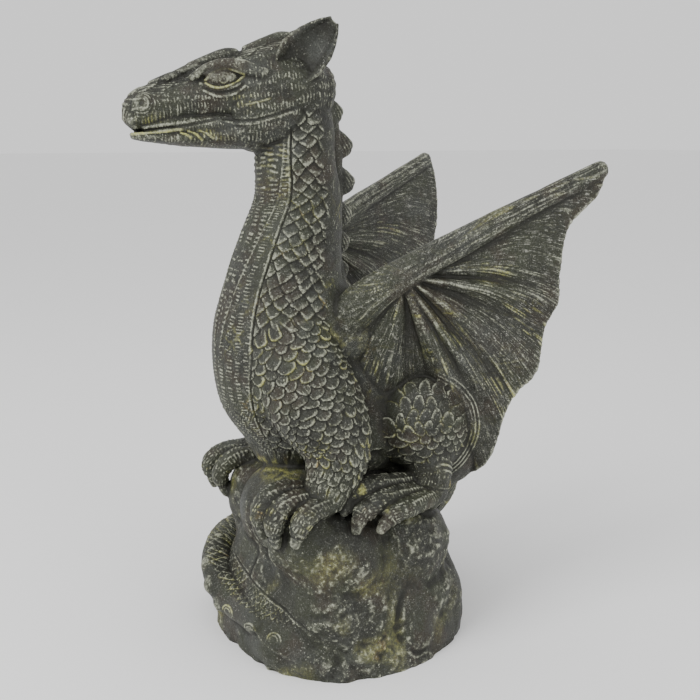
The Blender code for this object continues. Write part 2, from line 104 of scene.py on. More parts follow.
def unit(vectors: Array) -> Array:
    """Each vector, along the last axis, made one long."""
    made = np.asarray(vectors, float)
    return made / np.linalg.norm(made, axis=-1, keepdims=True)


def scatter(*keys: Array, seed: int = 0) -> Array:
    """A repeatable random number from 0 to 1 for each set of whole-number keys, by mixing their bits."""
    mixed = np.full(np.shape(keys[0]), seed * 40503 + 977, np.int64)
    for key, prime in zip(keys, (73856093, 19349663, 83492791)):
        mixed ^= np.asarray(key, np.int64) * prime
    mixed &= 0xFFFFFFFF
    mixed = ((mixed >> 15) ^ mixed) * 0x2C1B3C6D & 0xFFFFFFFF
    mixed = ((mixed >> 12) ^ mixed) * 0x297A2D39 & 0xFFFFFFFF
    return ((mixed >> 15) ^ mixed).astype(float) / 0xFFFFFFFF


def clouds(points: Array | tuple[Array, ...], cell: float, seed: int = 0) -> Array:
    """Smooth random hills from -1 to 1: random numbers at the corners of a grid of cubes, blended between.

    Args:
        points: places, one row each, or a tuple of their columns.
        cell: the size of a cube, in the units of the columns.
        seed: picks another set of hills.

    Returns:
        One value for each place.
    """
    grid = (np.stack(points, -1) if isinstance(points, tuple) else points) / cell
    base = np.floor(grid)
    share = grid - base
    share = share * share * (3.0 - 2.0 * share)
    total = np.zeros(len(grid))
    for corner in itertools.product((0, 1), repeat=grid.shape[1]):
        weight = np.ones(len(grid))
        for axis, side in enumerate(corner):
            weight *= share[:, axis] if side else 1.0 - share[:, axis]
        total += weight * scatter(*(base + corner).T, seed=seed)
    return total * 2.0 - 1.0


def curve_through(stations: Array, count: int) -> Array:
    """`count` rows on a Catmull-Rom curve through the stations, spaced by the root of the chords."""
    rows = np.array(stations, float)
    chord = np.linalg.norm(np.diff(rows[:, :3], axis=0), axis=1) ** 0.5
    knots = np.concatenate([[0.0], np.cumsum(chord)])
    slopes = np.gradient(rows, knots, axis=0)
    at = np.linspace(0.0, knots[-1], count)
    k = np.clip(np.searchsorted(knots, at, side="right") - 1, 0, len(rows) - 2)
    span = (knots[k + 1] - knots[k])[:, None]
    t = (at - knots[k])[:, None] / span
    return (
        (2 * t**3 - 3 * t**2 + 1) * rows[k]
        + (t**3 - 2 * t**2 + t) * span * slopes[k]
        + (3 * t**2 - 2 * t**3) * rows[k + 1]
        + (t**3 - t**2) * span * slopes[k + 1]
    )


def carry(points: Array, matrix: Matrix) -> Array:
    """Points moved by a matrix."""
    return points @ np.array(matrix.to_3x3()).T + np.array(matrix.translation)


# --- Closed shapes ------------------------------------------------------------

@dataclass
class Shape:
    """A closed surface of triangles."""

    points: Array
    triangles: Array

    def carried(self, matrix: Matrix) -> "Shape":
        """The shape moved by a matrix."""
        return Shape(carry(self.points, matrix), self.triangles)

    def mirrored(self, hand: int) -> "Shape":
        """The shape itself (hand 1), or its mirror image in the middle plane (hand -1)."""
        return self if hand == 1 else Shape(self.points * (-1.0, 1.0, 1.0), self.triangles[:, ::-1])


def quads_to_triangles(quads: Array) -> Array:
    """Each quad cut along its first diagonal."""
    return np.concatenate([quads[:, [0, 1, 2]], quads[:, [0, 2, 3]]])


def ring_skin(rings: Array, first_pole: Array, last_pole: Array) -> Shape:
    """A tube's skin: rings (n, m, 3), each closed on itself, shut by a fan to a pole at each end."""
    count, around = rings.shape[:2]
    cell = np.arange(count * around).reshape(count, around)
    beside = np.roll(cell, -1, axis=1)
    quads = np.stack([cell[:-1], beside[:-1], beside[1:], cell[1:]], -1).reshape(-1, 4)
    poles = count * around
    first = np.stack([np.full(around, poles), beside[0], cell[0]], -1)
    last = np.stack([np.full(around, poles + 1), cell[-1], beside[-1]], -1)
    points = np.concatenate([rings.reshape(-1, 3), [first_pole, last_pole]])
    return Shape(points, np.concatenate([quads_to_triangles(quads), first, last]))


def plate(front: Array, back: Array) -> Shape:
    """A closed plate between two grids of points (n, m, 3), with a rim round their edge."""
    rows, columns = front.shape[:2]
    count = rows * columns
    cell = np.arange(count).reshape(rows, columns)
    quads = np.stack([cell[:-1, :-1], cell[:-1, 1:], cell[1:, 1:], cell[1:, :-1]], -1).reshape(-1, 4)
    rim = np.concatenate([cell[0, :-1], cell[:-1, -1], cell[-1, :0:-1], cell[:0:-1, 0]])
    after = np.roll(rim, -1)
    edge = np.stack([after, rim, rim + count, after + count], -1)
    faces = [quads_to_triangles(part) for part in (quads, quads[:, ::-1] + count, edge)]
    return Shape(np.concatenate([front.reshape(-1, 3), back.reshape(-1, 3)]), np.concatenate(faces))


@dataclass
class Place:
    """Where points lie on a limb.

    Attributes:
        along: distance from its first station.
        turn: angle round it in radians, 0 along its width and a quarter turn along its depth.
        near: distance from its skin, negative inside; FAR where it was not measured.
        size: the mean half width there.
    """

    along: Array
    turn: Array
    near: Array
    size: Array

    @staticmethod
    def nearest(places: list["Place"]) -> tuple[Array, "Place"]:
        """The number of the nearest limb at each point, and where the point lies on that one."""
        k = np.argmin([place.near for place in places], axis=0)
        columns = zip(*(vars(place).values() for place in places))
        return k, Place(*(np.choose(k, column) for column in columns))


@dataclass(frozen=True)
class Course:
    """A limb: an ellipse swept along a smooth curve.

    The skin is centre + cos(turn) * half width * wide + sin(turn) * half depth * deep; `wide` is +X laid
    square to the curve and `deep` is square to both.

    Attributes:
        stations: rows of x, y, z, half width, half depth.
        hand: 1 for the dragon's left, -1 for the mirror image on its right.
        rings: rows that the skin and the measuring use.
        around: points in a ring.
        cap: how far the round ends stand out, in half widths.
    """

    stations: tuple
    hand: int = 1
    rings: int = 48
    around: int = 32
    cap: float = 1.0

    def rows(self) -> Array:
        """The smooth curve's rows on its own side."""
        return curve_through(self.stations, self.rings) * (self.hand, 1, 1, 1, 1)

    def axes(self, centres: Array) -> tuple[Array, Array, Array]:
        """Unit vectors ahead, wide and deep at each row."""
        ahead = unit(np.gradient(centres, axis=0))
        wide = unit((1, 0, 0) - ahead * ahead[:, :1])
        return ahead, wide, np.cross(ahead, wide)

    def shape(self) -> Shape:
        """The closed skin, its ends rounded by rings that shrink as a quarter circle."""
        rows = self.rows()
        centres = rows[:, :3]
        ahead, wide, deep = self.axes(centres)
        turns = np.linspace(0.0, 2 * math.pi, self.around, endpoint=False)[None, :, None]
        angle = np.radians((72.0, 50.0, 25.0))
        pick = np.concatenate([np.zeros(3, int), np.arange(self.rings), np.full(3, self.rings - 1)])
        share = np.concatenate([np.cos(angle), np.ones(self.rings), np.cos(angle[::-1])])
        bulge = self.cap * np.minimum(rows[:, 3], rows[:, 4])
        out = np.sin(angle)
        out = np.concatenate([-out * bulge[0], np.zeros(self.rings), out[::-1] * bulge[-1]])
        middle = centres[pick] + ahead[pick] * out[:, None]
        across = np.cos(turns) * (rows[pick, 3] * share)[:, None, None] * wide[pick][:, None]
        through = np.sin(turns) * (rows[pick, 4] * share)[:, None, None] * deep[pick][:, None]
        ends = centres[0] - ahead[0] * bulge[0], centres[-1] + ahead[-1] * bulge[-1]
        return ring_skin(middle[:, None] + across + through, *ends)

    def locate(self, points: Array, margin: float = 12.0) -> Place:
        """Measures points against the limb: the nearest row, then the step along its direction from there."""
        rows = self.rows()
        centres = rows[:, :3]
        count = len(points)
        place = Place(np.zeros(count), np.zeros(count), np.full(count, FAR), np.full(count, FAR))
        reach = rows[:, 3:5].max() + margin
        inside = np.all((points > centres.min(0) - reach) & (points < centres.max(0) + reach), axis=1)
        chosen = np.flatnonzero(inside)
        if not len(chosen):
            return place
        here = points[chosen]
        k = ((centres**2).sum(1)[None, :] - 2.0 * here @ centres.T).argmin(1)
        ahead, wide, deep = self.axes(centres)
        length = np.concatenate([[0.0], np.cumsum(np.linalg.norm(np.diff(centres, axis=0), axis=1))])
        gap = length[-1] / (self.rings - 1)
        off = here - centres[k]
        ahead_of = (off * ahead[k]).sum(1)
        forward = np.clip(ahead_of, -gap, gap)
        off = off - forward[:, None] * ahead[k]
        across = (off * wide[k]).sum(1) / rows[k, 3]
        through = (off * deep[k]).sum(1) / rows[k, 4]
        size = (rows[k, 3] + rows[k, 4]) / 2
        place.along[chosen] = length[k] + forward
        place.turn[chosen] = np.arctan2(through, across)
        beyond = np.maximum(np.abs(ahead_of) - gap, 0) * 0.7
        place.near[chosen] = (np.hypot(across, through) - 1.0) * size + beyond
        place.size[chosen] = size
        return place


@dataclass(frozen=True)
class Ball:
    """An ellipsoid: centre + radii * a unit vector."""

    at: Triple
    radii: Triple
    hand: int = 1

    @property
    def centre(self) -> Array:
        """The centre on its own side."""
        return np.array(self.at, float) * (self.hand, 1, 1)

    def shape(self, rings: int = 22, around: int = 32) -> Shape:
        """The closed skin, rings from top to bottom."""
        down = np.linspace(0.0, math.pi, rings + 2)[1:-1][:, None]
        turns = -np.linspace(0.0, 2 * math.pi, around, endpoint=False)[None, :]
        ring = (np.sin(down) * np.cos(turns), np.sin(down) * np.sin(turns), np.cos(down) + 0 * turns)
        top = np.array((0, 0, self.radii[2]))
        return ring_skin(self.centre + np.stack(ring, -1) * self.radii, self.centre + top, self.centre - top)

    def near(self, points: Array) -> Array:
        """Distance from the skin, about right close to it."""
        off = (points - self.centre) / self.radii
        return (np.linalg.norm(off, axis=1) - 1.0) * float(np.mean(self.radii))


@dataclass
class Clay:
    """Closed shapes that are waiting to be melted into one skin."""

    shapes: list[Shape] = field(default_factory=list)

    def add(self, *shapes: Shape) -> None:
        """Takes closed shapes."""
        self.shapes.extend(shapes)

    def melted(self, cell: float, smoothing: int) -> Shape:
        """One skin: all the shapes run together by a voxel remesh, then smoothed half-way some times."""
        starts = np.cumsum([0] + [len(shape.points) for shape in self.shapes[:-1]])
        points = np.concatenate([shape.points for shape in self.shapes])
        triangles = np.concatenate([s.triangles + start for s, start in zip(self.shapes, starts)])
        made = mesh_object("clay", points, triangles)
        melt = made.modifiers.new("melt", "REMESH")
        melt.mode = "VOXEL"
        melt.voxel_size = cell * MM
        melt.adaptivity = 0.0
        soften = made.modifiers.new("soften", "SMOOTH")
        soften.factor = 0.5
        soften.iterations = smoothing
        shape = read_skin(made)
        bpy.data.objects.remove(made)
        return shape


def mesh_object(name: str, points: Array, triangles: Array) -> bpy.types.Object:
    """An object at the origin with this mesh, linked to the scene."""
    mesh = bpy.data.meshes.new(name)
    mesh.vertices.add(len(points))
    mesh.vertices.foreach_set("co", (points * MM).astype(np.float32).ravel())
    mesh.loops.add(triangles.size)
    mesh.loops.foreach_set("vertex_index", triangles.astype(np.int32).ravel())
    mesh.polygons.add(len(triangles))
    mesh.polygons.foreach_set("loop_start", np.arange(0, triangles.size, 3, dtype=np.int32))
    mesh.update(calc_edges=True)
    mesh.validate()
    made = bpy.data.objects.new(name, mesh)
    bpy.context.scene.collection.objects.link(made)
    return made


def read_skin(made: bpy.types.Object) -> Shape:
    """The points and triangles of an object as its modifiers leave it."""
    mesh = made.evaluated_get(bpy.context.evaluated_depsgraph_get()).to_mesh()
    points = np.empty(len(mesh.vertices) * 3, np.float32)
    mesh.vertices.foreach_get("co", points)
    mesh.calc_loop_triangles()
    triangles = np.empty(len(mesh.loop_triangles) * 3, np.int32)
    mesh.loop_triangles.foreach_get("vertices", triangles)
    return Shape(points.reshape(-1, 3).astype(float) / MM, triangles.reshape(-1, 3))


def corner_sums(shape: Shape, values: Array) -> Array:
    """At each point, the sum of the values of the triangles round it."""
    return np.bincount(shape.triangles.ravel(), np.repeat(values, 3), len(shape.points))


def face_crosses(shape: Shape) -> Array:
    """The cross product of each triangle's sides: along its normal, twice its area long."""
    a, b, c = (shape.points[shape.triangles[:, i]] for i in range(3))
    return np.cross(b - a, c - a)


def vertex_normals(shape: Shape) -> Array:
    """Unit normals: the sum of the cross products of the triangles round each point."""
    total = np.stack([corner_sums(shape, column) for column in face_crosses(shape).T], -1)
    return total / np.maximum(np.linalg.norm(total, axis=1), 1e-14)[:, None]


# --- The figure's limbs, as clay ----------------------------------------------

@dataclass
class Trunk:
    """The upright S of neck and chest, the trunk that leans back to the rump, and the thighs' masses."""

    neck: Course = Course((
        (0, -51, 444, 28, 24), (0, -50, 420, 32, 30), (0, -50, 388, 33, 32), (0, -48, 359, 36, 35),
        (0, -55, 325, 42, 41), (0, -61, 295, 49, 47), (0, -63, 262, 56, 56), (0, -62, 228, 57, 58),
        (0, -58, 200, 54, 54), (0, -54, 172, 48, 40),
    ), rings=120, around=48)
    back: Course = Course((
        (0, -52, 225, 52, 52), (0, -20, 195, 56, 55), (0, 20, 168, 60, 52), (0, 55, 150, 58, 46),
        (0, 80, 140, 42, 36),
    ), rings=60, around=48)

    def masses(self, hand: int) -> tuple[Ball, ...]:
        """The thigh's dome, the hip behind it, the wing's root and the flank."""
        return (
            Ball((63, 34, 180), (33, 38, 41), hand),
            Ball((46, 66, 158), (34, 36, 40), hand),
            Ball((32, -22, 262), (26, 34, 32), hand),
            Ball((36, -18, 172), (29, 44, 38), hand),
        )

    def model(self, clay: Clay) -> None:
        """Adds the trunk's shapes."""
        clay.add(self.neck.shape(), self.back.shape())
        clay.add(*(ball.shape() for hand in (1, -1) for ball in self.masses(hand)))


def digit(points: tuple, thick: float, hand: int) -> Course:
    """A finger or toe through its points, which thins to its claw."""
    shares = np.interp(np.linspace(0, 1, len(points)), (0, 0.5, 0.8, 1), (1.0, 1.0, 0.9, 0.55))
    rows = tuple((*point, thick * share, thick * share * 0.9) for point, share in zip(points, shares))
    return Course(rows, hand, rings=40, around=20)


@dataclass
class Arm:
    """A foreleg: shoulder and upper arm, forearm, palm and three fingers hooked over the rock."""

    hand: int
    upper: Course
    fore: Course
    palm: Ball
    thick: float
    paths: tuple

    @property
    def fingers(self) -> tuple[Course, ...]:
        """Inner, middle and outer finger."""
        return tuple(digit(path, self.thick, self.hand) for path in self.paths)

    def model_upper(self, clay: Clay) -> None:
        """Adds the shoulder and upper arm, which melt into the trunk."""
        clay.add(self.upper.shape())

    def model(self, clay: Clay) -> None:
        """Adds the forearm, palm and fingers."""
        clay.add(self.fore.shape(), self.palm.shape(), *(finger.shape() for finger in self.fingers))


def left_arm() -> Arm:
    """The near foreleg, which reaches further down and forward."""
    return Arm(
        1,
        Course(((30, -74, 252, 34, 34), (44, -68, 224, 38, 38), (60, -56, 194, 33, 34),
                (71, -53, 171, 26, 27), (77, -60, 154, 21, 21)), 1),
        Course(((70, -53, 174, 24, 25), (76, -58, 158, 20, 20), (80, -68, 144, 18, 17)), 1),
        Ball((79, -76, 137), (17, 17, 12), 1),
        9.2,
        (
            ((67, -72, 140), (66, -94, 146), (65, -109, 143), (65, -116, 131), (65, -114, 114)),
            ((77, -72, 139), (78, -92, 142), (78, -105, 138), (78, -111, 126), (78, -109, 110)),
            ((88, -70, 138), (92, -85, 137), (94, -96, 129), (95, -102, 115)),
        ),
    )


def right_arm() -> Arm:
    """The far foreleg, held a little further back."""
    return Arm(
        -1,
        Course(((30, -68, 250, 32, 32), (40, -56, 222, 34, 34), (50, -43, 196, 30, 31),
                (55, -42, 174, 25, 26), (55, -50, 160, 21, 21)), -1),
        Course(((55, -46, 180, 23, 23), (55, -52, 158, 18, 18), (55, -62, 142, 15, 14)), -1),
        Ball((55, -64, 139), (17, 17, 12), -1),
        8.8,
        (
            ((50, -60, 140), (60, -74, 142), (70, -89, 139), (76, -99, 128), (72, -97, 110)),
            ((44, -62, 139), (48, -78, 140), (53, -91, 135), (56, -98, 123), (53, -94, 107)),
            ((58, -56, 140), (70, -66, 140), (79, -75, 134), (83, -79, 119)),
        ),
    )


@dataclass
class Foot:
    """The short shin of a folded hind leg, and three toes laid forward on the rock."""

    hand: int
    thick: float = 9.2
    paths: tuple = (
        ((73, 22, 136), (77, -4, 139), (82, -32, 143), (86, -50, 139), (88, -56, 129)),
        ((82, 20, 130), (89, -8, 134), (95, -32, 134), (100, -48, 129), (101, -53, 118)),
        ((88, 24, 127), (99, -2, 128), (104, -22, 126), (107, -35, 117)),
    )

    @property
    def shin(self) -> Course:
        """From under the thigh to the ankle."""
        return Course(((70, 30, 165, 23, 23), (76, 30, 145, 20, 18), (78, 26, 128, 19, 18)), self.hand)

    @property
    def toes(self) -> tuple[Course, ...]:
        """Inner, middle and outer toe."""
        return tuple(digit(path, self.thick, self.hand) for path in self.paths)

    def model(self, clay: Clay) -> None:
        """Adds shin and toes."""
        clay.add(self.shin.shape(), *(toe.shape() for toe in self.toes))


@dataclass
class Head:
    """The long horse-like head on its own axes: +Y back, so that reach, counted from the neck's joint, is -y.

    Each row of a loft is reach, foot, crown and half width.
    """

    turn: float = 15.0
    joint: Triple = (0.0, -45.0, 0.0)
    upper: tuple = (
        (-16, 424, 466, 27), (-8, 413, 478, 33), (8, 409, 484, 36), (30, 412, 479, 34),
        (50, 416, 471.5, 29.5), (66, 419, 466.5, 26.5), (80, 418.5, 459, 24), (95, 418, 452.5, 21.5),
        (107, 416, 450, 20.5), (117, 413.5, 447, 20), (125, 411.5, 440.5, 18), (130, 412, 429, 14),
    )
    lower: tuple = (
        (-4, 406, 440, 28), (20, 402, 440, 32.5), (44, 400, 432, 29), (62, 400.5, 424, 25.5),
        (80, 401.8, 418.6, 22.5), (94, 402.8, 417.4, 20.5), (108, 404.5, 416.2, 18), (120, 406, 415, 16.5),
        (130, 407.8, 414, 13.5),
    )
    behind_lips: tuple = ((30, 404, 432, 30), (80, 405, 431, 22.2), (108, 406, 428, 19), (121, 407, 422, 15))

    @property
    def place(self) -> Matrix:
        """Carries the head's own axes to where it sits on the neck."""
        return Matrix.Translation(self.joint) @ Matrix.Rotation(math.radians(-self.turn), 4, "Z")

    @staticmethod
    def section(rows: tuple, reach: Array) -> tuple[Array, Array, Array]:
        """Middle height, half depth and half width of a loft at each reach."""
        at, foot, crown, half = np.array(rows, float).T
        columns = ((foot + crown) / 2, (crown - foot) / 2, half)
        return tuple(np.interp(reach, at, column) for column in columns)

    def loft(self, rows: tuple, narrowing: float, cap: float) -> Shape:
        """A loft from nape to lips whose half width shrinks by `narrowing` * (share of the way up)^2."""
        stations = tuple((0, -reach, (foot + crown) / 2, half, (crown - foot) / 2)
                         for reach, foot, crown, half in rows)
        made = Course(stations, rings=110, around=56, cap=cap).shape()
        middle, depth, _ = self.section(rows, -made.points[:, 1])
        above = np.clip((made.points[:, 2] - middle) / depth, 0, 1)
        made.points[:, 0] *= 1 - narrowing * above**2
        return made

    def soft_parts(self, hand: int) -> tuple[Ball | Course, ...]:
        """Cheek, eye, nostril, brow and the fold under the eye."""
        return (
            Ball((18, -28, 430), (20.5, 31, 26), hand),
            Ball((22.5, -64, 452.5), (8.5, 12.5, 6.4), hand),
            Ball((12.5, -120.5, 431.5), (8.5, 10, 10), hand),
            Course(((16.5, -85, 453, 3, 3), (20.5, -75, 459, 4, 4), (23, -62, 462, 4.8, 4.8),
                    (26.5, -48, 460, 4.8, 4.8), (30, -34, 456, 3.8, 3.8)), hand),
            Course(((21.5, -80, 448, 1.6, 1.6), (25.5, -66, 444.8, 2.2, 2.2),
                    (28.5, -52, 447, 1.8, 1.8)), hand),
        )

    def model(self, clay: Clay) -> None:
        """Adds skull with upper lip, lower jaw, throat, cheeks, brows, eyes and nostrils."""
        shapes = [self.loft(self.upper, 0.34, 0.5), self.loft(self.lower, 0.0, 0.5),
                  self.loft(self.behind_lips, 0.0, 0.4), Ball((0, -36, 409), (22, 16, 11)).shape()]
        shapes += [part.shape() for hand in (1, -1) for part in self.soft_parts(hand)]
        clay.add(*(shape.carried(self.place) for shape in shapes))


@dataclass
class Ear:
    """A broad cupped ear, which stands up and back from the temple and opens outwards.

    Its plate is base + share * length * axis + across * half width, sunk by cup * (1 - across^2) * root of
    the share that is left to the tip.
    """

    hand: int
    length: float = 51.0
    thick: float = 5.0
    cup: float = 10.0
    shares: tuple = (0.0, 0.08, 0.3, 0.6, 0.76, 0.9, 1.0)
    front_halves: tuple = (12, 15, 18.5, 15.5, 12, 8, 4)
    rear_halves: tuple = (12, 15, 18, 16, 12.5, 8.2, 4)
    base: Triple = (32.0, -16.5, 456.0)

    def axes(self) -> tuple[Array, Array, Array]:
        """Unit vectors along the ear, out of its opening, and across it towards the front edge."""
        axis = unit((0.176, 0.657, 0.733))
        opening = np.array((0.966, -0.259, 0.0))
        opening = unit(opening - axis * (opening @ axis))
        return axis, opening, np.cross(opening, axis)

    def halves(self, t: Array, s: Array) -> Array:
        """Half width at a share of the length, on the front (s above 0) or rear side."""
        front, rear = (np.interp(t, self.shares, halves) for halves in (self.front_halves, self.rear_halves))
        return np.where(s > 0, front, rear)

    def bowl(self, t: Array, s: Array) -> Array:
        """How far the plate is sunk."""
        return self.cup * np.clip(1 - s**2, 0, 1) * np.clip(1 - t, 0, 1) ** 0.5

    def model(self, clay: Clay, place: Matrix) -> None:
        """Adds the ear to the head that sits at `place`."""
        axis, opening, across = self.axes()
        t, s = np.meshgrid(np.linspace(0, 1, 40), np.linspace(-1, 1, 31), indexing="ij")
        sheet = np.array(self.base) + (t * self.length)[..., None] * axis
        sheet = sheet + (s * self.halves(t, s))[..., None] * across - self.bowl(t, s)[..., None] * opening
        clay.add(plate(sheet, sheet - opening * self.thick).mirrored(self.hand).carried(place))


@dataclass
class Crest:
    """The overlapping lobes along the top of the head, and the row of lobes down the back of the neck."""

    head_tips: tuple = (  # reach, height, rise and length of each lobe
        (8, 485, 6, 36), (50, 472, 6, 36), (76, 462, 5, 22), (94, 455, 4, 22),
    )
    ridge: Course = Course((
        (0, -34, 446, 8, 9), (0, -22, 420, 9, 10), (0, -18, 370, 9, 10), (0, -20, 320, 10, 10),
        (0, -10, 275, 10, 10), (0, 20, 222, 9, 9), (0, 66, 184, 8, 8),
    ), rings=80, around=24)
    neck_tips: tuple = (  # y and z
        (-16, 449), (-8, 423), (1, 397), (3, 368), (0, 342), (-2, 320), (-3, 297), (8, 271), (22, 248),
        (42, 227), (64, 207),
    )

    def lobe(self, start: Triple, tip: Triple, rise: float, thick: float) -> Course:
        """A flat tongue that swells from its root at `start` to a round end at `tip`."""
        start, tip = np.array(start, float), np.array(tip, float)
        form = ((0.0, 0.6, 0.35), (0.4, 0.9, 0.75), (0.8, 1.0, 1.0), (1.0, 0.8, 0.7))
        return Course(tuple((*(start + (tip - start) * share), thick * wide, rise * high)
                            for share, wide, high in form), rings=24, around=24, cap=0.6)

    def head_lobes(self) -> tuple[Course, ...]:
        """The lobes on the head, in the head's own axes."""
        return tuple(self.lobe((0, -reach - length, height - length * 0.26), (0, -reach, height), rise, 7.5)
                     for reach, height, rise, length in self.head_tips)

    def neck_lobes(self) -> tuple[Course, ...]:
        """The lobes down the neck."""
        return tuple(self.lobe((0, y - 16, z + 18), (0, y - 8, z - 1), 12, 6) for y, z in self.neck_tips)

    def model(self, clay: Clay, place: Matrix) -> None:
        """Adds every lobe and the ridge that carries them."""
        clay.add(*(lobe.shape().carried(place) for lobe in self.head_lobes()))
        clay.add(self.ridge.shape(), *(lobe.shape() for lobe in self.neck_lobes()))


@dataclass
class Tail:
    """The tail, which leaves the rump, goes round behind the rock and lies across its front left foot."""

    course: Course = Course((
        (0, 72, 140, 36, 34), (-12, 90, 104, 28, 26), (-44, 98, 70, 24, 23), (-80, 76, 56, 22, 21),
        (-100, 30, 52, 20, 20), (-100, -30, 52, 18, 19), (-84, -78, 48, 16, 20), (-56, -99, 47, 15, 20),
        (-22, -108, 38, 14, 18), (20, -105, 30, 12, 14), (54, -100, 22, 9, 9), (74, -92, 18, 4, 4),
    ), rings=220, around=32)
    lobes: tuple = ((-87, -85, 30), (-60, -101, 25), (-27, -108, 18), (20, -108, 12), (50, -102, 12))

    def model(self, clay: Clay) -> None:
        """Adds the tail and the lobes on its outer edge."""
        clay.add(self.course.shape(), *(Ball(lobe, (12, 10, 10)).shape() for lobe in self.lobes))


@dataclass
class Wing:
    """A spread wing: its arm, the stout leading edge, and a fan of membrane from the wrist to the outer edge.

    The membrane is wrist + reach * (edge - wrist), moved off that fan by each edge row's fold * sin(pi *
    (0.12 + 0.76 * reach^0.8)), so the folds are deepest halfway out. Edge rows are x, y, z and fold; the last
    ones are the same on both wings.
    """

    hand: int
    wrist: Triple
    outer_edge: tuple
    inner_edge: tuple = ((91, 89.2, 169, 0), (78, 83, 140, 3), (56, 74, 130, 0), (46, 40, 150, -3),
                         (44, 4, 195, 3), (40, -30, 245, 0))
    shoulder: Triple = (36.0, -32.0, 262.0)
    thick: float = 9.0
    columns: int = 240
    reaches: int = 60

    @property
    def edge(self) -> tuple:
        """The outer and the inner edge."""
        return self.outer_edge + self.inner_edge

    def wave(self, reach: Array) -> Array:
        """How much of its fold the membrane has at a share of the way out."""
        return np.sin(math.pi * (0.12 + 0.76 * reach**0.8))

    def half(self, reach: Array) -> Array:
        """The membrane's half thickness."""
        return self.thick / 2 * (1 - 0.30 * reach**2)

    def sheet(self) -> tuple[Array, Array, Array]:
        """The reaches, the membrane's middle surface (reach, edge) and its unit normals, on the left."""
        wrist = np.array(self.wrist)
        rim = curve_through(self.edge, self.columns)
        reach = np.linspace(0.04, 1, self.reaches)[:, None, None]
        sheet = wrist + reach * (rim[None, :, :3] - wrist)
        normals = unit(np.cross(np.gradient(sheet, axis=1), np.gradient(sheet, axis=0)))
        normals *= np.sign(normals[..., :1])
        return reach, sheet + normals * rim[None, :, 3:4] * self.wave(reach), normals

    def leading(self) -> Course:
        """The arm from the shoulder to the wrist, and the leading edge from there to the tip."""
        wrist, shoulder = np.array(self.wrist), np.array(self.shoulder)
        tip = np.array(self.edge[0][:3])
        return Course((
            (*shoulder, 19, 19),
            (*(shoulder * 0.5 + wrist * 0.5 + (1, -4, 2)), 14.5, 16),
            (*wrist, 12, 13),
            (*(wrist * 0.67 + tip * 0.33 + (0, 0, 1)), 8.8, 11),
            (*(wrist * 0.33 + tip * 0.67 + (0, 0, 1)), 7.2, 8.5),
            (*(wrist * 0.03 + tip * 0.97), 6, 7.5),
        ), self.hand, rings=90, around=32)

    def model(self, clay: Clay) -> None:
        """Adds the membrane and the arm."""
        reach, sheet, normals = self.sheet()
        half = self.half(reach)
        clay.add(plate(sheet - normals * half, sheet + normals * half).mirrored(self.hand))
        clay.add(self.leading().shape())


def left_wing() -> Wing:
    """The near wing."""
    return Wing(1, (74.0, 4.0, 306.0), (
        (126, 160, 387, 0), (125, 153, 366, -2), (118.5, 130, 340, -3), (118, 124, 312, -1),
        (119, 122.5, 295, -4), (119.5, 120.8, 283, 4), (115.5, 112.2, 260, -4), (111, 108.5, 226, 4),
        (103, 95, 205, -4), (97, 88.8, 188.4, 3),
    ))


def right_wing() -> Wing:
    """The far wing, held a little wider at the back."""
    return Wing(-1, (74.0, 4.0, 321.0), (
        (126, 163.5, 390, 0), (126, 169, 372, -2), (124.5, 172, 340, -1), (122, 165, 305, -3),
        (119, 150, 280, 4), (116, 130, 255, -4), (111, 115, 226, 4), (103, 98, 205, -4), (97, 90, 188.4, 3),
    ))


@dataclass
class Rock:
    """The rock: a squarish stump that leans in towards its top, boulders on its sides, a mound in front."""

    middle: tuple[float, float] = (12.0, -11.0)
    spokes: tuple = (104, 101, 102, 96, 96, 98, 100, 110, 114, 106, 108, 116, 104)
    levels: tuple = (  # height, and share of the spokes
        (-12, 1.00), (0, 1.00), (12, 1.00), (30, 0.96), (65, 0.86), (92, 0.80), (108, 0.72), (118, 0.58),
        (124, 0.35),
    )
    boulders: tuple = (
        ((22, -66, 113), (50, 43, 41)), ((62, -76, 104), (34, 36, 32)), ((-40, -60, 102), (39, 35, 40)),
        ((0, -20, 120), (64, 56, 36)), ((68, -56, 88), (42, 42, 40)), ((56, 6, 82), (50, 50, 46)),
        ((70, -46, 46), (46, 50, 42)), ((52, -74, 14), (46, 42, 32)), ((56, 20, 34), (48, 50, 44)),
        ((-50, 30, 86), (48, 48, 38)),
    )

    def polar(self, points: Array) -> tuple[Array, Array]:
        """Angle round the stump in degrees, and distance from its middle."""
        off = points[:, :2] - self.middle
        return np.degrees(np.arctan2(off[:, 1], off[:, 0])) % 360, np.hypot(off[:, 0], off[:, 1])

    def model(self, clay: Clay) -> None:
        """Adds the stump and its boulders."""
        turns = np.linspace(0, 2 * math.pi, 48, endpoint=False)
        outline = np.interp(turns, np.radians(np.arange(0, 390, 30)), self.spokes)
        outline = (np.roll(outline, 1) + outline * 2 + np.roll(outline, -1)) / 4
        rings = np.stack([
            np.stack([self.middle[0] + share * outline * np.cos(turns),
                      self.middle[1] + share * outline * np.sin(turns), np.full(48, z)], -1)
            for z, share in self.levels
        ])
        clay.add(ring_skin(rings, rings[0].mean(0), rings[-1].mean(0)))
        clay.add(*(Ball(centre, radii).shape() for centre, radii in self.boulders))


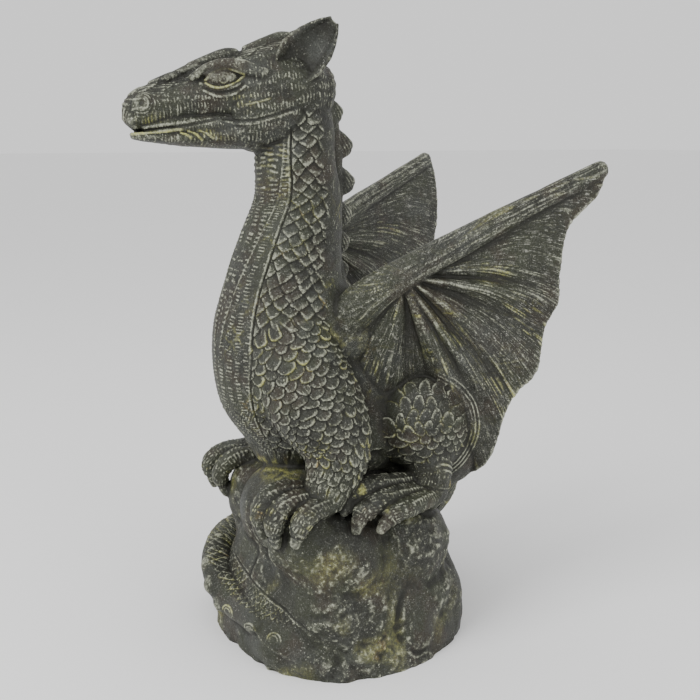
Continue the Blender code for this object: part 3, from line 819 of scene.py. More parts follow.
@dataclass
class Figure:
    """The whole figure's limbs."""

    trunk: Trunk = field(default_factory=Trunk)
    arms: tuple[Arm, Arm] = field(default_factory=lambda: (left_arm(), right_arm()))
    feet: tuple[Foot, Foot] = field(default_factory=lambda: (Foot(1), Foot(-1)))
    head: Head = field(default_factory=Head)
    ears: tuple[Ear, Ear] = field(default_factory=lambda: (Ear(1), Ear(-1)))
    crest: Crest = field(default_factory=Crest)
    tail: Tail = field(default_factory=Tail)
    wings: tuple[Wing, Wing] = field(default_factory=lambda: (left_wing(), right_wing()))
    rock: Rock = field(default_factory=Rock)

    def melted(self) -> Shape:
        """The figure's plain skin: trunk and rock melted on their own first, then all the limbs together."""
        body, stump, clay = Clay(), Clay(), Clay()
        self.trunk.model(body)
        for arm in self.arms:
            arm.model_upper(body)
        self.rock.model(stump)
        clay.add(body.melted(*BODY_MELT), stump.melted(*ROCK_MELT))
        self.head.model(clay)
        self.crest.model(clay, self.head.place)
        for ear in self.ears:
            ear.model(clay, self.head.place)
        for limb in (*self.arms, *self.feet, *self.wings, self.tail):
            limb.model(clay)
        return clay.melted(*SKIN_MELT)


# --- Carving ------------------------------------------------------------------

@dataclass
class Relief:
    """What the carver leaves on some points of the skin.

    Attributes:
        points: where those points are.
        rise: how far the carving stands out, negative where it is cut in.
        rub: 0 to 1, raised edges and lines that the pale dry brushing catches.
        ochre: 0 to 1, where the paint is yellow instead of grey.
        stroke: coordinates across and along fine brush-like lines, in line widths.
    """

    points: Array
    rise: Array
    rub: Array
    ochre: Array
    stroke: Array

    @staticmethod
    def plain(points: Array) -> "Relief":
        """No carving at all."""
        count = len(points)
        return Relief(points, np.zeros(count), np.zeros(count), np.zeros(count), np.zeros((count, 3)))

    def cloud(self, cell: float, seed: int) -> Array:
        """Smooth random hills over the points."""
        return clouds(self.points, cell, seed)

    def blob(self, centre: Triple, radii: Triple) -> Array:
        """A soft spot round a place."""
        return bell(np.linalg.norm((self.points - centre) / radii, axis=1))

    def line(self, height: Array, rise: float, rub: float = 0.0, ochre: float = 0.0) -> None:
        """Adds a line whose cross-section is `height`, 0 to 1: raised, or cut in where `rise` is negative.

        A negative `rub` takes paint off, along an edge that would otherwise catch too much.
        """
        self.rise += height * rise
        self.rub = np.maximum(self.rub, height * rub) if rub >= 0 else self.rub + height * rub
        self.tint(height * ochre)

    def tint(self, amount: Array) -> None:
        """Turns the paint yellow, by 0 to 1."""
        self.ochre = np.maximum(self.ochre, amount)


def scales(u: Array, v: Array, roundness: Array | float, rim: float = 0.10,
           wrap: float = 0.35) -> tuple[Array, Array]:
    """Overlapping scales: one unit wide in u, one row each unit of v, each row half a scale across.

    A scale is where (|2 du|^p + |dv|^p)^(1/p) from its middle is under 1, with p from about 1, a diamond, to
    2.6, a round-ended tongue. The row above covers the row below. A scale climbs towards its lower tip and
    drops at its edge.

    Args:
        u: across, in scale widths.
        v: up, in rows.
        roundness: 0 for diamonds, 1 for round ends.
        rim: half width of the raised line along the lower edge, as a share of half a scale.
        wrap: how far that line runs up the sides, in rows above the scale's middle.

    Returns:
        The height, 0 to 1, and the raised rim along the lower edge, 0 to 1.
    """
    power = 1.06 + 1.5 * roundness
    height = np.full(len(u), 0.25)
    edge = np.zeros(len(u))
    settled = np.zeros(len(u), bool)
    top = np.floor(v) + 1
    for row in (top, top - 1):
        shift = 0.5 * (row % 2)
        middle = np.round(u - shift) + shift
        wobble = scatter(middle * 2, row, seed=5) - 0.5
        across = np.abs(u - middle + 0.10 * wobble) * 2
        down = row - v
        inside = 1 - (across**power + np.abs(down) ** power) ** (1 / power)
        body = step(0.0, 0.20, inside) * np.clip(0.46 + 0.46 * down + 0.22 * wobble, 0.06, 1)
        line = hump((inside - rim) / (rim * 1.05)) * step(-wrap, 0.65 - wrap, down) * (0.80 + 1.0 * wobble)
        take = ~settled & (inside > 0)
        height[take] = body[take]
        edge[take] = line[take]
        settled |= inside > 0
    return height, np.clip(edge, 0, 1)


def strokes(u: Array, v: Array, seed: int = 0, fill: float = 0.8, width: float = 0.36) -> Array:
    """Rows of short raised strokes: one a unit of u, rows a unit of v, each leaning and starting as it likes.

    Args:
        u: across the strokes, in their spacing.
        v: along them, in rows.
        seed: picks another set.
        fill: the share of strokes that are there.
        width: half the width of a stroke, as a share of the spacing.

    Returns:
        The strokes' height, 0 to 1.
    """
    row = np.floor(v)
    along = v - row
    slant = u + (scatter(row, row, seed=seed) - 0.5) * 1.1 * along + row * 0.37
    column = np.floor(slant)
    luck, length, there = (scatter(column, row, seed=seed + extra) for extra in (1, 2, 3))
    body = step(0.0, 0.14, along - 0.30 * luck) * step(0.0, 0.14, 0.72 + 0.28 * length - along)
    ridge = hump((slant - column - 0.5) / (width * (0.8 + 0.4 * luck)))
    return ridge * body * (0.45 + 0.55 * luck) * (there < fill)


@dataclass(frozen=True)
class Line:
    """A line drawn on a chart of two coordinates: a smooth curve through its points, faded at both ends."""

    points: tuple
    half_width: float
    rise: float
    rub: float = 0.0
    ochre: float = 0.0
    fade: float = 0.12
    crosses: bool = False

    def offset(self, a: Array, b: Array) -> tuple[Array, Array]:
        """Signed distance from the line, positive on its left, and the share of its length."""
        rows = curve_through(np.array([(*p, 0.0) for p in self.points]), 80)[:, :2]
        ahead = unit(np.gradient(rows, axis=0))
        here = np.stack([a, b], -1)
        k = ((rows**2).sum(1)[None, :] - 2 * here @ rows.T).argmin(1)
        off = here - rows[k]
        forward = (off * ahead[k]).sum(1)
        side = ahead[k][:, 0] * off[:, 1] - ahead[k][:, 1] * off[:, 0]
        over = np.where((k == 0) | (k == len(rows) - 1), np.abs(forward), 0.0)
        return np.sign(side) * np.hypot(side, over), k / (len(rows) - 1.0)

    def height(self, a: Array, b: Array) -> Array:
        """The ridge's cross-section, 0 to 1."""
        near = np.zeros(len(a))
        low, high = np.min(self.points, 0), np.max(self.points, 0)
        pad = self.half_width * np.array((1.1, 2.2))
        box = (a > low[0] - pad[0]) & (a < high[0] + pad[0]) & (b > low[1] - pad[1]) & (b < high[1] + pad[1])
        chosen = np.flatnonzero(box)
        if len(chosen):
            side, share = self.offset(a[chosen], b[chosen])
            ends = step(0.0, self.fade, share) * step(0.0, self.fade, 1 - share)
            near[chosen] = hump(side / self.half_width) * ends
        return near

    def draw(self, relief: Relief, a: Array, b: Array) -> None:
        """Adds the line to a relief."""
        relief.line(self.height(a, b), self.rise, self.rub, self.ochre)


class Region:
    """A part of the skin with a carving of its own."""

    def near(self, points: Array) -> Array:
        """How far points are from this part's own surface."""
        raise NotImplementedError

    def carve(self, made: Relief, normals: Array) -> None:
        """Carves points of this part, whose unit normals are given, on a plain relief."""
        raise NotImplementedError


@dataclass
class NeckCarving(Region):
    """Neck and chest: a ribbed band in front, a seam on each side, diamond scales behind it, a smooth nape.

    The chart is the angle from the front in degrees, 0 to 180 on both sides, and the height. `seam`, `ridge`
    and `nape` give that angle at each height.
    """

    trunk: Trunk
    heights: tuple = (160, 210, 255, 295, 342, 378, 395, 430)
    seam: tuple = (34, 36, 40, 41, 47, 58, 57, 56)
    ridge: tuple = (0, 0, 6, 13, 28, 42, 46, 48)
    nape: tuple = (116, 112, 108, 106, 108, 110, 110, 112)
    scale_width: float = 13.5
    row: float = 6.4

    def near(self, points: Array) -> Array:
        """Distance from the neck and the leaning trunk; whatever else is high up belongs here too."""
        near = np.minimum(self.trunk.neck.locate(points).near, self.trunk.back.locate(points).near)
        return np.where(points[:, 2] > 165, np.minimum(near, 2.6), near)

    def carve(self, made: Relief, normals: Array) -> None:
        """Carves the neck, chest and back."""
        place = self.trunk.neck.locate(made.points, margin=60)
        x, y, height = made.points.T
        along, radius = place.along, np.maximum(place.size, 24)
        arc = radius * np.abs(np.arctan2(np.cos(place.turn), np.sin(place.turn)))
        jitter, drift = made.cloud(11, 3), made.cloud(20, 4)
        seam, ridge, nape = (
            radius * np.radians(np.interp(height, self.heights, angles) + wander * drift)
            for angles, wander in ((self.seam, 1.6), (self.ridge, 0.0), (self.nape, 0.0))
        )
        upper = step(165, 200, height)

        behind = step(0.2, 1.8, arc - seam) * step(0, 6, nape - arc)
        body, rim = scales((arc - seam) / self.scale_width + 0.22 * jitter,
                           -along / self.row + 0.30 * drift + 0.20 * jitter,
                           0.10 + 0.75 * (1 - step(215, 285, height)), 0.09, 0.40)
        made.rise += behind * (body - 0.5) * 2.8
        made.line(rim * behind, 0.7, 1.0)
        made.rub *= 0.50 + 0.50 * step(-0.5, 0.3, made.cloud(9, 6))

        made.line(hump((arc - seam) / 1.1) * upper, -1.5)
        made.line(hump((arc - seam + 2.0) / 1.2) * upper, 0.30, 0.30)
        ribs = strokes(along / 2.3 + 0.25 * jitter, arc / 10 + 0.3 * drift, 11, 0.9)
        made.line(ribs * step(0.5, 2.0, seam - arc) * step(-1.0, 1.5, arc - ridge), 0.60, 0.85)
        dashes = strokes(along / 3.4 + 0.45 * jitter, arc / 11 + 0.4 * drift, 17, 0.9, 0.42)
        made.line(dashes * step(-1.0, 1.5, ridge - arc), 1.0, 0.85)
        made.line(hump((arc - ridge) / 1.6) * step(235, 260, height), 0.5, 0.25)
        folds = strokes(along / 4.0 + 0.4 * jitter, arc / 15 + 0.9 * drift, 13, 1.0, 0.42)
        folds *= step(-0.7, 0.1, made.cloud(5, 8)) * made.blob((22, -80, 388), (26, 22, 17))
        made.line(folds * step(0, 2, seam - arc), 1.5, 0.9, 1.0)
        belly = step(0, 2, seam - arc + 40 * (1 - upper)) * (1 - step(195, 215, height))
        hatch = strokes((arc + along) / 3.4 + 0.3 * jitter, (arc - along) / 9, 14, 0.85)
        made.line(hatch * belly, 0.7, 0.55)

        back = step(0, 6, arc - nape)
        lines = strokes(arc / 2.4, along / 13 + 0.4 * drift, 23)
        hairs = strokes(x / 2.6 + 0.6 * jitter, (height - y) / 15 + 0.5 * drift, 24)
        lines += (hairs - lines) * step(-20, 10, y) * (1 - step(240, 270, height))
        made.rise += back * 0.5 * drift
        made.line(lines * back, 0.32, 0.40)

        luck = step(-0.1, 0.45, made.cloud(13, 7))
        low, high, top = (
            share * bell((height - at) / tall) * step(0, reach, x)
            for share, at, tall, reach in ((1.0, 215, 45, 50), (0.8, 275, 30, 30), (0.7, 345, 30, 20))
        )
        made.tint((low + high) * rim * luck)
        made.tint(top * rim * luck)
        root = made.blob((60, -45, 254), (16, 18, 10)) * step(-0.2, 0.4, made.cloud(4, 9))
        made.line(root, 0.0, 0.9, 1.0)


@dataclass
class ArmCarving(Region):
    """A foreleg: round-ended scales hang in rows from the shoulder to the wrist."""

    arm: Arm
    scale_width: float = 12.0
    row: float = 6.2

    def near(self, points: Array) -> Array:
        """Distance from the upper arm and the forearm."""
        return np.minimum(self.arm.upper.locate(points).near, self.arm.fore.locate(points).near)

    def carve(self, made: Relief, normals: Array) -> None:
        """Carves the leg; the forearm's chart follows on from the upper arm's."""
        upper, fore = (course.locate(made.points, margin=60) for course in (self.arm.upper, self.arm.fore))
        low = (fore.near < upper.near) & (fore.along > 4)
        u = np.where(low, fore.turn * 24, upper.turn * 30) / self.scale_width + 0.24 * made.cloud(11, 31)
        v = -np.where(low, fore.along + 84, upper.along) / self.row + 0.32 * made.cloud(14, 32)
        body, rim = scales(u, v, 0.75, 0.11, 0.05)
        made.rise += (body - 0.5) * 2.4 + stripes(u * 4, 0.45) * 0.25 * body
        made.line(rim * (0.55 + 0.45 * step(-0.5, 0.3, made.cloud(8, 34))), 0.7, 1.0)
        made.ochre = rim * step(0.0, 0.45, made.cloud(12, 33)) * (1.0 if self.arm.hand == 1 else 0.35)


@dataclass
class HaunchCarving(Region):
    """The thigh's dome: petals round its middle, their ends outwards, round scales below, lines on its rim.

    The chart looks straight at the dome, from outwards and somewhat forwards and up. The petals fan out from
    a point below it, `root`, so that the outer ones aren't much wider than the inner ones.
    """

    dome: Ball
    facing: Triple = (0.84, -0.50, 0.20)
    root: float = -1.55
    fan: float = 6.6
    rows: float = 3.7

    def chart(self, points: Array) -> tuple[Array, Array, Array]:
        """Shares of the dome's radius towards the back and upwards, and forwards out of it."""
        own = unit((points - self.dome.centre) * (self.dome.hand, 1, 1) / self.dome.radii)
        axis = unit(self.facing)
        back = unit(np.cross((0, 0, 1), axis))
        return own @ back, own @ np.cross(axis, back), own @ axis

    def near(self, points: Array) -> Array:
        """Below zero on the dome; it reaches further on the side of the wing."""
        back, _, out = self.chart(points)
        behind = step(0.0, 0.6, back)
        off = self.dome.near(points) - (4 + 8 * behind)
        return np.maximum(np.maximum((-0.05 - 0.25 * behind - out) * 50, off), -1.6)

    def carve(self, made: Relief, normals: Array) -> None:
        """Carves the thigh."""
        back, up, out = self.chart(made.points)
        far = self.dome.near(made.points)
        jitter, drift = made.cloud(10, 41), made.cloud(15, 42)
        petal, tip = scales(np.arctan2(back, up - self.root) * self.fan + 0.20 * jitter,
                            -np.hypot(back, up - self.root) * self.rows + 0.25 * drift, 0.70, 0.09, 0.9)
        flat, edge = scales(made.points[:, 1] / 11 + 0.24 * jitter, made.points[:, 2] / 6.2 + 0.30 * drift,
                            0.8, 0.11, 0.2)
        lower = 1 - step(-0.22, 0.02, up - 0.10 * back)
        inside = step(0.02, 0.12, out) * (1 - step(2, 4, far))
        made.rise += inside * (petal + (flat - petal) * lower - 0.5) * (1.4 + 0.6 * lower)
        made.line(np.where(lower > 0.5, edge, tip) * inside, 0.6, 0.70)
        behind = step(0.15, 0.45, back) * (1 - inside)
        for at in (2.6, 5.6, 8.6):
            made.line(hump((far - at - 0.5 * drift) / 1.1) * behind, 0.8, 0.75)
        made.line(hump((out - 0.14) / 0.07) * step(0.0, 0.3, up) * inside, 0.5, 0.60)
        made.ochre = made.rub * step(-0.1, 0.45, made.cloud(11, 43)) * 0.8


@dataclass
class DigitCarving(Region):
    """Fingers or toes: short ribs between two raised lines, rough dashes at the bend, a dark claw."""

    digits: tuple[Course, ...]
    palm: tuple[Ball, ...] = ()
    rib: float = 3.1

    def near(self, points: Array) -> Array:
        """Distance from the nearest digit, or the palm."""
        near = [digit.locate(points).near for digit in self.digits]
        return np.min(near + [ball.near(points) + 0.5 for ball in self.palm], axis=0)

    def carve(self, made: Relief, normals: Array) -> None:
        """Carves each point with the digit that it is nearest to."""
        places = [digit.locate(made.points, margin=40) for digit in self.digits]
        k, at = Place.nearest(places)
        share = at.along / np.choose(k, [place.along.max() for place in places])
        jitter = made.cloud(6, 55)
        top = step(-0.15, 0.45, normals[:, 2])
        across = at.turn * np.maximum(at.size, 5)
        ribs = strokes(at.along / self.rib + 0.45 * jitter, across / 9 + 0.3 * jitter, 57, 0.90, 0.40)
        rough = strokes(across / 2.6 + 0.5 * jitter, at.along / 5.2 + 0.6 * jitter, 58, 0.75, 0.40)
        bend = step(0.45, 0.60, share + 0.10 * jitter)
        claw = step(0.84, 0.89, share)
        body = (ribs + (rough - ribs) * bend) * (1 - claw)
        made.line(body, 0.95, 0.20)
        made.line(hump((np.cos(at.turn + 0.7) - 0.1) / 0.20) * (1 - bend) * top, 0.6, 0.38)
        made.rise += 0.35 * made.cloud(3.5, 56) - 0.9 * hump((share - 0.86) / 0.04) - 0.5 * claw
        spot = hump((share - 0.76) / 0.06) * step(0.15, 0.5, jitter) * top
        made.ochre = np.clip(spot + body * bend * step(0.1, 0.6, made.cloud(8, 59)) * 0.7, 0, 1)
        made.rub = np.maximum(made.rub - 0.14, spot * 0.8)


@dataclass
class TailCarving(Region):
    """The tail: long crossing scales below the line where it meets the rock, a plain edge, bumps and eyes.

    The chart is the angle round the rock, and the distance down from that line. `edge` gives its height at
    each angle in degrees, `width` how far down the scales go.
    """

    tail: Tail
    rock: Rock
    edge: tuple = ((100, 112), (130, 95), (163, 90), (188, 87), (212, 82), (232, 68.5), (249, 66), (265, 61),
                   (280, 56), (293, 50.5), (305, 46.5), (314, 41.5), (325, 36))
    width: tuple = ((180, 52), (215, 44), (235, 30), (249, 27), (280, 24), (305, 14), (318, 4))
    eyes: tuple = ((10.3, -120, 29), (39.3, -114, 24), (68.7, -107, 26.5))
    bumps: tuple = ((-35.7, -119, 53), (-20.6, -124, 41), (-4.6, -122.5, 30))

    def chart(self, points: Array) -> tuple[Array, Array, Array]:
        """Angle round the rock in degrees, distance below the line, distance from the rock's middle."""
        angle, out = self.rock.polar(points)
        return angle, np.interp(angle, *np.array(self.edge).T) - points[:, 2], out

    def near(self, points: Array) -> Array:
        """Distance from the tail and from the band that it makes across the front of the rock."""
        angle, below, _ = self.chart(points)
        off = np.max([-below - 0.8, below - 30, 200 - angle, angle - 316, np.full(len(points), -2.5)], axis=0)
        return np.minimum(self.tail.course.locate(points).near, off + 0.6)

    def carve(self, made: Relief, normals: Array) -> None:
        """Carves the tail."""
        angle, below, out = self.chart(made.points)
        down = below + 0.9 * (out - 100)
        jitter, drift = made.cloud(7, 51), made.cloud(13, 52)
        around = np.radians(angle) * 105
        body, rim = scales(around / 6.4 + down / 30 + 0.22 * jitter, -down / 5.4 + 0.25 * drift,
                           0.12, 0.12, 0.9)
        width = np.interp(angle, *np.array(self.width).T)
        scaled = step(0.5, 3.0, below) * (1 - step(-3, 1, down - width))
        made.rise += 0.8 * scaled * (body - 0.45) * 1.7 + 0.9
        made.line(rim * scaled, 0.6, 0.75)
        front = step(0.0, 8.0, angle - 200)
        made.line(hump((below + 0.6) / 1.5) * front, -2.4)
        made.line(hump((below - 1.3) / 1.1) * front * step(-0.3, 0.4, drift), 0.5, 0.45)
        for eye in self.eyes:
            off = (made.points - eye) * (1, 1, 1.3)
            far = np.linalg.norm(off, axis=1)
            arch = step(-2.0, 2.5, off[:, 2])
            made.rise += 1.5 * hump(far / 13)
            made.line(hump((far - 6.6) / 1.1) * arch, 0.7, 0.9)
            made.line(hump((far - 4.2) / 0.9) * arch, 0.35, 0.5)
        for bump in self.bumps:
            made.rise += 3.4 * hump(np.linalg.norm(made.points - bump, axis=1) / 10)
        made.ochre = made.rub * step(-0.5, 0.3, made.cloud(12, 53)) * 0.9


@dataclass
class WingCarving(Region):
    """A wing: fine lines run from the wrist across the membrane; its arm is a broad soft band.

    The chart is polar about the wrist in the side view: the angle, and the share of the way to the edge.
    """

    wing: Wing

    def polar(self, points: Array) -> tuple[Array, Array]:
        """Angle and distance from the wrist in the side view."""
        y, z = (points[:, 1:3] - self.wing.wrist[1:]).T
        return np.arctan2(z, y), np.hypot(y, z)

    def chart(self, points: Array) -> tuple[Array, Array, Array]:
        """Angle, share of the way out, and distance off the membrane's skin."""
        wing = self.wing
        rim = curve_through(wing.edge, 400)
        rim_angle, rim_reach = self.polar(rim)
        rim_angle = np.unwrap(rim_angle)
        facing = np.interp(np.linspace(0, 1, 400), np.linspace(0, 1, wing.columns), wing.sheet()[2][30, :, 0])
        angle, reach = self.polar(points)
        angle = np.where(angle > math.radians(100), angle - 2 * math.pi, angle)
        order = np.argsort(rim_angle)
        full, out, facing, fold = (np.interp(angle, rim_angle[order], column[order])
                                   for column in (rim_reach, rim[:, 0], np.clip(facing, 0.2, 1), rim[:, 3]))
        share = reach / full
        reach = np.clip(share, 0.04, 1.0)
        middle = wing.wrist[0] + reach * (out - wing.wrist[0])
        off = (points[:, 0] * wing.hand - middle) * facing - fold * wing.wave(reach)
        return angle, share, np.abs(off) - wing.half(reach)

    def near(self, points: Array) -> Array:
        """Distance from the membrane and the leading edge."""
        angle, share, off = self.chart(points)
        beyond = (angle <= math.radians(-122)) | (angle > math.radians(34)) | (share < 0.02)
        beyond |= points[:, 0] * self.wing.hand <= 30
        near = np.where(beyond, FAR, off + np.maximum(share - 1.02, 0) * 120)
        return np.minimum(near, self.wing.leading().locate(points).near)

    def carve(self, made: Relief, normals: Array) -> None:
        """Carves the wing."""
        angle, share, _ = self.chart(made.points)
        lead = self.wing.leading().locate(made.points, margin=30)
        arm = 1 - step(0.0, 3.0, lead.near)
        turn = angle + 0.20 * share**2 * step(-1.6, -0.2, angle)
        turn += 0.014 * clouds((angle, share), 0.25, 61)
        fine, finer, broad, luck, patch = (
            clouds((turn * across, share * out), 1, seed)
            for across, out, seed in ((105, 6, 62), (170, 11, 66), (24, 2.5, 63), (30, 16, 67), (6, 3.5, 64))
        )
        fade = step(0.05, 0.42, share)
        grooves = 0.30 * fine + 0.16 * finer * step(0.4, 0.7, share) + 0.50 * broad
        made.rise += fade * grooves * (1 - 0.6 * arm)
        thin = np.clip(fine * 1.9 - 0.20, 0, 1) * step(-0.45, 0.35, luck)
        made.rub = thin * (0.62 + 0.45 * broad + 0.25 * share) * fade * (1 - 0.55 * arm)
        made.ochre = made.rub * step(-0.25, 0.35, patch) * (0.85 if self.wing.hand == 1 else 0.35)
        band = clouds((lead.turn * 7, lead.along / 26), 1, 65)
        made.rise += arm * 0.35 * band
        made.rub = np.maximum(made.rub, arm * 0.20 * step(0.0, 0.9, band))
        made.stroke = np.stack([turn * 190, share * 14, np.zeros(len(turn))], -1)


@dataclass
class CrestCarving(Region):
    """The lobes of the crest: fine lines from their roots to their ends."""

    crest: Crest
    place: Matrix

    def near(self, points: Array) -> Array:
        """Distance from the nearest lobe or the ridge that carries them."""
        own = carry(points, self.place.inverted())
        parts = [lobe.locate(points).near for lobe in self.crest.neck_lobes()]
        parts += [lobe.locate(own).near for lobe in self.crest.head_lobes()]
        return np.min([*parts, self.crest.ridge.locate(points).near + 1.0], axis=0)

    def carve(self, made: Relief, normals: Array) -> None:
        """Carves the crest."""
        _, at = Place.nearest([lobe.locate(made.points, margin=20) for lobe in self.crest.neck_lobes()])
        veins = stripes((np.sin(at.turn) * at.size + 0.10 * at.along) / 2.3, 0.42) * (at.near < 3)
        made.line(veins * step(2, 8, at.along), 0.28, 0.22)
        made.rub = np.maximum(made.rub, step(0.3, 0.9, normals[:, 1]) * 0.25)


@dataclass
class RockCarving(Region):
    """The rock: hills, cracks and pits of cast stone, and smooth places, each a middle and its half sizes."""

    rock: Rock
    smooth: tuple = (
        ((20, -100, 138), (62, 40, 30)), ((93, -86, 114), (20, 20, 14)), ((108, -40, 120), (30, 30, 22)),
        ((70, -100, 50), (30, 30, 18)), ((40, -118, 12), (45, 30, 12)), ((-70, -80, 100), (30, 40, 24)),
        ((-60, 70, 60), (40, 40, 40)), ((70, 90, 50), (40, 40, 30)),
    )

    def near(self, points: Array) -> Array:
        """Distance from the stump and the boulders; whatever else is low down belongs here too."""
        angle, out = self.rock.polar(points)
        height = points[:, 2]
        reach = np.interp(angle, np.arange(0, 390, 30), self.rock.spokes)
        reach = reach * np.interp(height, *np.array(self.rock.levels).T)
        stump = np.maximum((out / reach - 1) * 80, (height - 124) * 0.8)
        near = np.min([stump, *(Ball(*boulder).near(points) for boulder in self.rock.boulders)], axis=0)
        return np.where(height < 165, np.minimum(near, 2.4), near)

    def carve(self, made: Relief, normals: Array) -> None:
        """Carves the rock."""
        smooth = np.zeros(len(made.points))
        ragged = 0.18 * made.cloud(16, 77)
        for at, size in self.smooth:
            off = np.linalg.norm((made.points - at) / size, axis=1)
            smooth = np.maximum(smooth, 1 - step(0.75, 1.15, off + ragged))
        rough = (1 - smooth) * (0.35 + 0.65 * step(-0.35, 0.25, made.cloud(34, 75)))
        bent = made.points + np.stack([made.cloud(20, seed) for seed in (84, 85, 86)], -1) * 7
        hills = clouds(bent, 27, 71) * 2.6 + clouds(bent, 13, 72) * 1.5
        gully = hump(clouds(bent, 34, 78) / 0.30) * (0.4 + 0.6 * rough)
        lumps = clouds(bent, 7.5, 79)
        grit = made.cloud(3.9, 73) * 0.60 + made.cloud(2.2, 74) * 0.50
        made.rise = hills * (0.35 + 0.65 * rough) + 0.9 * lumps * rough - 1.6 * gully
        made.rise += grit * (0.06 + 0.44 * rough)
        made.rub = (0.25 + 0.16 * np.clip(grit + 0.5 * lumps, -1, 1)) * rough - 0.04
        spot = made.blob((98, -83, 97), (20, 20, 14))
        made.ochre = np.clip((step(0.1, 0.7, made.cloud(24, 76)) * 0.8 + spot) * made.rub * 1.5, 0, 1)
        made.rub = np.maximum(made.rub, spot * np.clip(grit * 2.0, 0, 1) * 0.8)
        made.tint(made.blob((0, -83, 152), (55, 12, 12)) * hump(made.cloud(7, 80) / 0.35) * 0.9)


@dataclass
class HeadCarving(Region):
    """The head, carved on a chart of reach (forward from the joint) and height, the same on both sides."""

    head: Head
    lines: tuple[Line, ...] = (
        # the creases and the fold round the eye, then its lids
        Line(((80.6, 450.7), (77.1, 456.8), (72.8, 460), (63.8, 463), (51.5, 460)), 1.2, -1.0),
        Line(((80.3, 446.5), (71.5, 442.5), (64, 442), (54, 445), (46.5, 451)), 1.3, -0.8),
        Line(((80.3, 444), (67.9, 439.2), (55.3, 441.2), (46.1, 448)), 1.5, 0.8, 0.5),
        Line(((77.4, 449), (72.5, 455.2), (65.7, 458.5), (56.3, 457.9), (46.9, 454.8)), 1.2, 1.1, 0.9, 0.8,
             fade=0.05),
        Line(((77.4, 449), (71.8, 446), (66.2, 445.3), (55.1, 449), (46.9, 454.8)), 1.2, 1.1, 1.0, 1.0,
             fade=0.05),
        # the mouth, the crease behind it, and the lips
        Line(((134, 413.8), (122.6, 414.3), (110.1, 415.8), (104, 416.5), (98, 416.8)), 1.3, -2.6,
             fade=0.10, crosses=True),
        Line(((102, 416.7), (90, 418.2), (80, 420.4), (73.5, 421.7), (67.8, 424)), 1.8, -0.9, -0.6),
        Line(((134, 416.4), (122.6, 417), (110.1, 418.5), (99.2, 419.8), (90, 421), (80, 423.2)),
             1.9, 0.6, -0.3),
        Line(((134, 411.4), (122.6, 412), (110.1, 413.4), (99.2, 414.7), (92, 415.2)), 1.1, 0.9, 1.0, 1.0),
        # the folds at the mouth's corner
        Line(((96.5, 413), (92, 411.5), (87, 408.5)), 1.2, 0.9, 0.9, 1.0),
        Line(((91.5, 414.5), (85, 412), (79, 407)), 1.3, 0.9, 0.9, 0.9),
        Line(((84, 415), (77, 412.5), (71, 408)), 1.3, 0.7, 0.7, 0.6),
        # the wrinkles of the cheek
        Line(((67.8, 424), (55.4, 421.8), (44, 421.7), (29.3, 425.3), (9.5, 432)), 1.7, -1.0, -0.5),
        Line(((66, 421.5), (55.4, 419.4), (44, 419.3), (29.3, 422.9), (9.5, 429.6)), 1.4, 0.4, -0.2),
        Line(((50, 432.5), (38.2, 435.3), (29, 438)), 1.2, 0.7, 0.6, 0.3),
    )
    nostril: Triple = (19.5, 124.0, 434.5)
    nostril_hollow: Triple = (12.5, 113.0, 443.5)
    eye: tuple[float, float] = (64.0, 451.2)
    cheek: Ball = Ball((18, 28, 430), (20.5, 31, 26))

    def own(self, points: Array) -> Array:
        """Points on the head's axes, as distance from its middle plane, reach and height."""
        own = carry(points, self.head.place.inverted()) * (1, -1, 1)
        own[:, 0] = np.abs(own[:, 0])
        return own

    def near(self, points: Array) -> Array:
        """Distance from the head's lofts, measured in their cross-sections."""
        own = self.own(points)
        side, reach, height = own.T
        near = self.cheek.near(own)
        for rows in (self.head.upper, self.head.lower, self.head.behind_lips):
            middle, depth, half = self.head.section(rows, reach)
            off = (np.hypot(side / half, (height - middle) / depth) - 1) * np.minimum(half, depth)
            off += np.maximum(rows[0][0] - 4 - reach, 0) + np.maximum(reach - rows[-1][0] - 6, 0)
            near = np.minimum(near, off)
        return near

    def carve(self, made: Relief, normals: Array) -> None:
        """Carves the head."""
        own = self.own(made.points)
        side, reach, height = own.T
        flank = step(6, 12, side)
        away = np.hypot((reach - self.eye[0]) / 17.5, (height - self.eye[1]) / 13)
        crown = np.interp(reach, [row[0] for row in self.head.upper], [row[2] for row in self.head.upper])
        top = step(0, 9, 12 - (crown - height)) * step(-6, 2, 16 - side)

        jitter, drift = made.cloud(9, 81), made.cloud(18, 82)
        lip = step(1.0, 3.5, np.abs(height - np.interp(reach, [68, 100], [424, 417])))
        nose = np.hypot(reach - self.nostril[1], height - self.nostril[2])
        rising = height + 0.12 * reach
        rows = strokes(reach / 2.5 + 0.5 * jitter, rising / 7.5 + 0.9 * drift, 83, 0.80, 0.36)
        short = strokes(reach / 2.1 + 0.5 * jitter, (height - 0.2 * reach) / 4.2 + drift, 87, 0.60, 0.34)
        amount = step(0.85, 1.15, away) * flank * (1 - top) * (0.35 + 0.65 * lip) * step(8, 11, nose)
        made.line(rows * amount * (0.70 + 0.45 * jitter), 0.65, 0.60)
        made.line(short * amount, 0.30, 0.40)
        made.rise += 0.25 * made.cloud(3.2, 88) + stripes(rising / 8.5 + 0.35 * drift, 0.5) * amount * 0.35
        for at, up, long, tall, most in ((118, 421.5, 10, 5, 1), (74, 410, 10, 5, 1), (50, 436, 8, 6, 0.7)):
            made.tint(rows * amount * most * bell(np.hypot((reach - at) / long, (height - up) / tall)))

        body, rim = scales(side / 10, reach / 11 + 0.3 * drift, 0.2, 0.09)
        leaf = top * step(-12, 0, reach)
        made.rise += leaf * (body - 0.45) * 2.0
        made.line(rim * leaf, 0.5, 0.7)
        made.line(stripes((side + 0.35 * reach) / 2.6 + 0.4 * jitter, 0.4) * leaf, 0.35, 0.40)

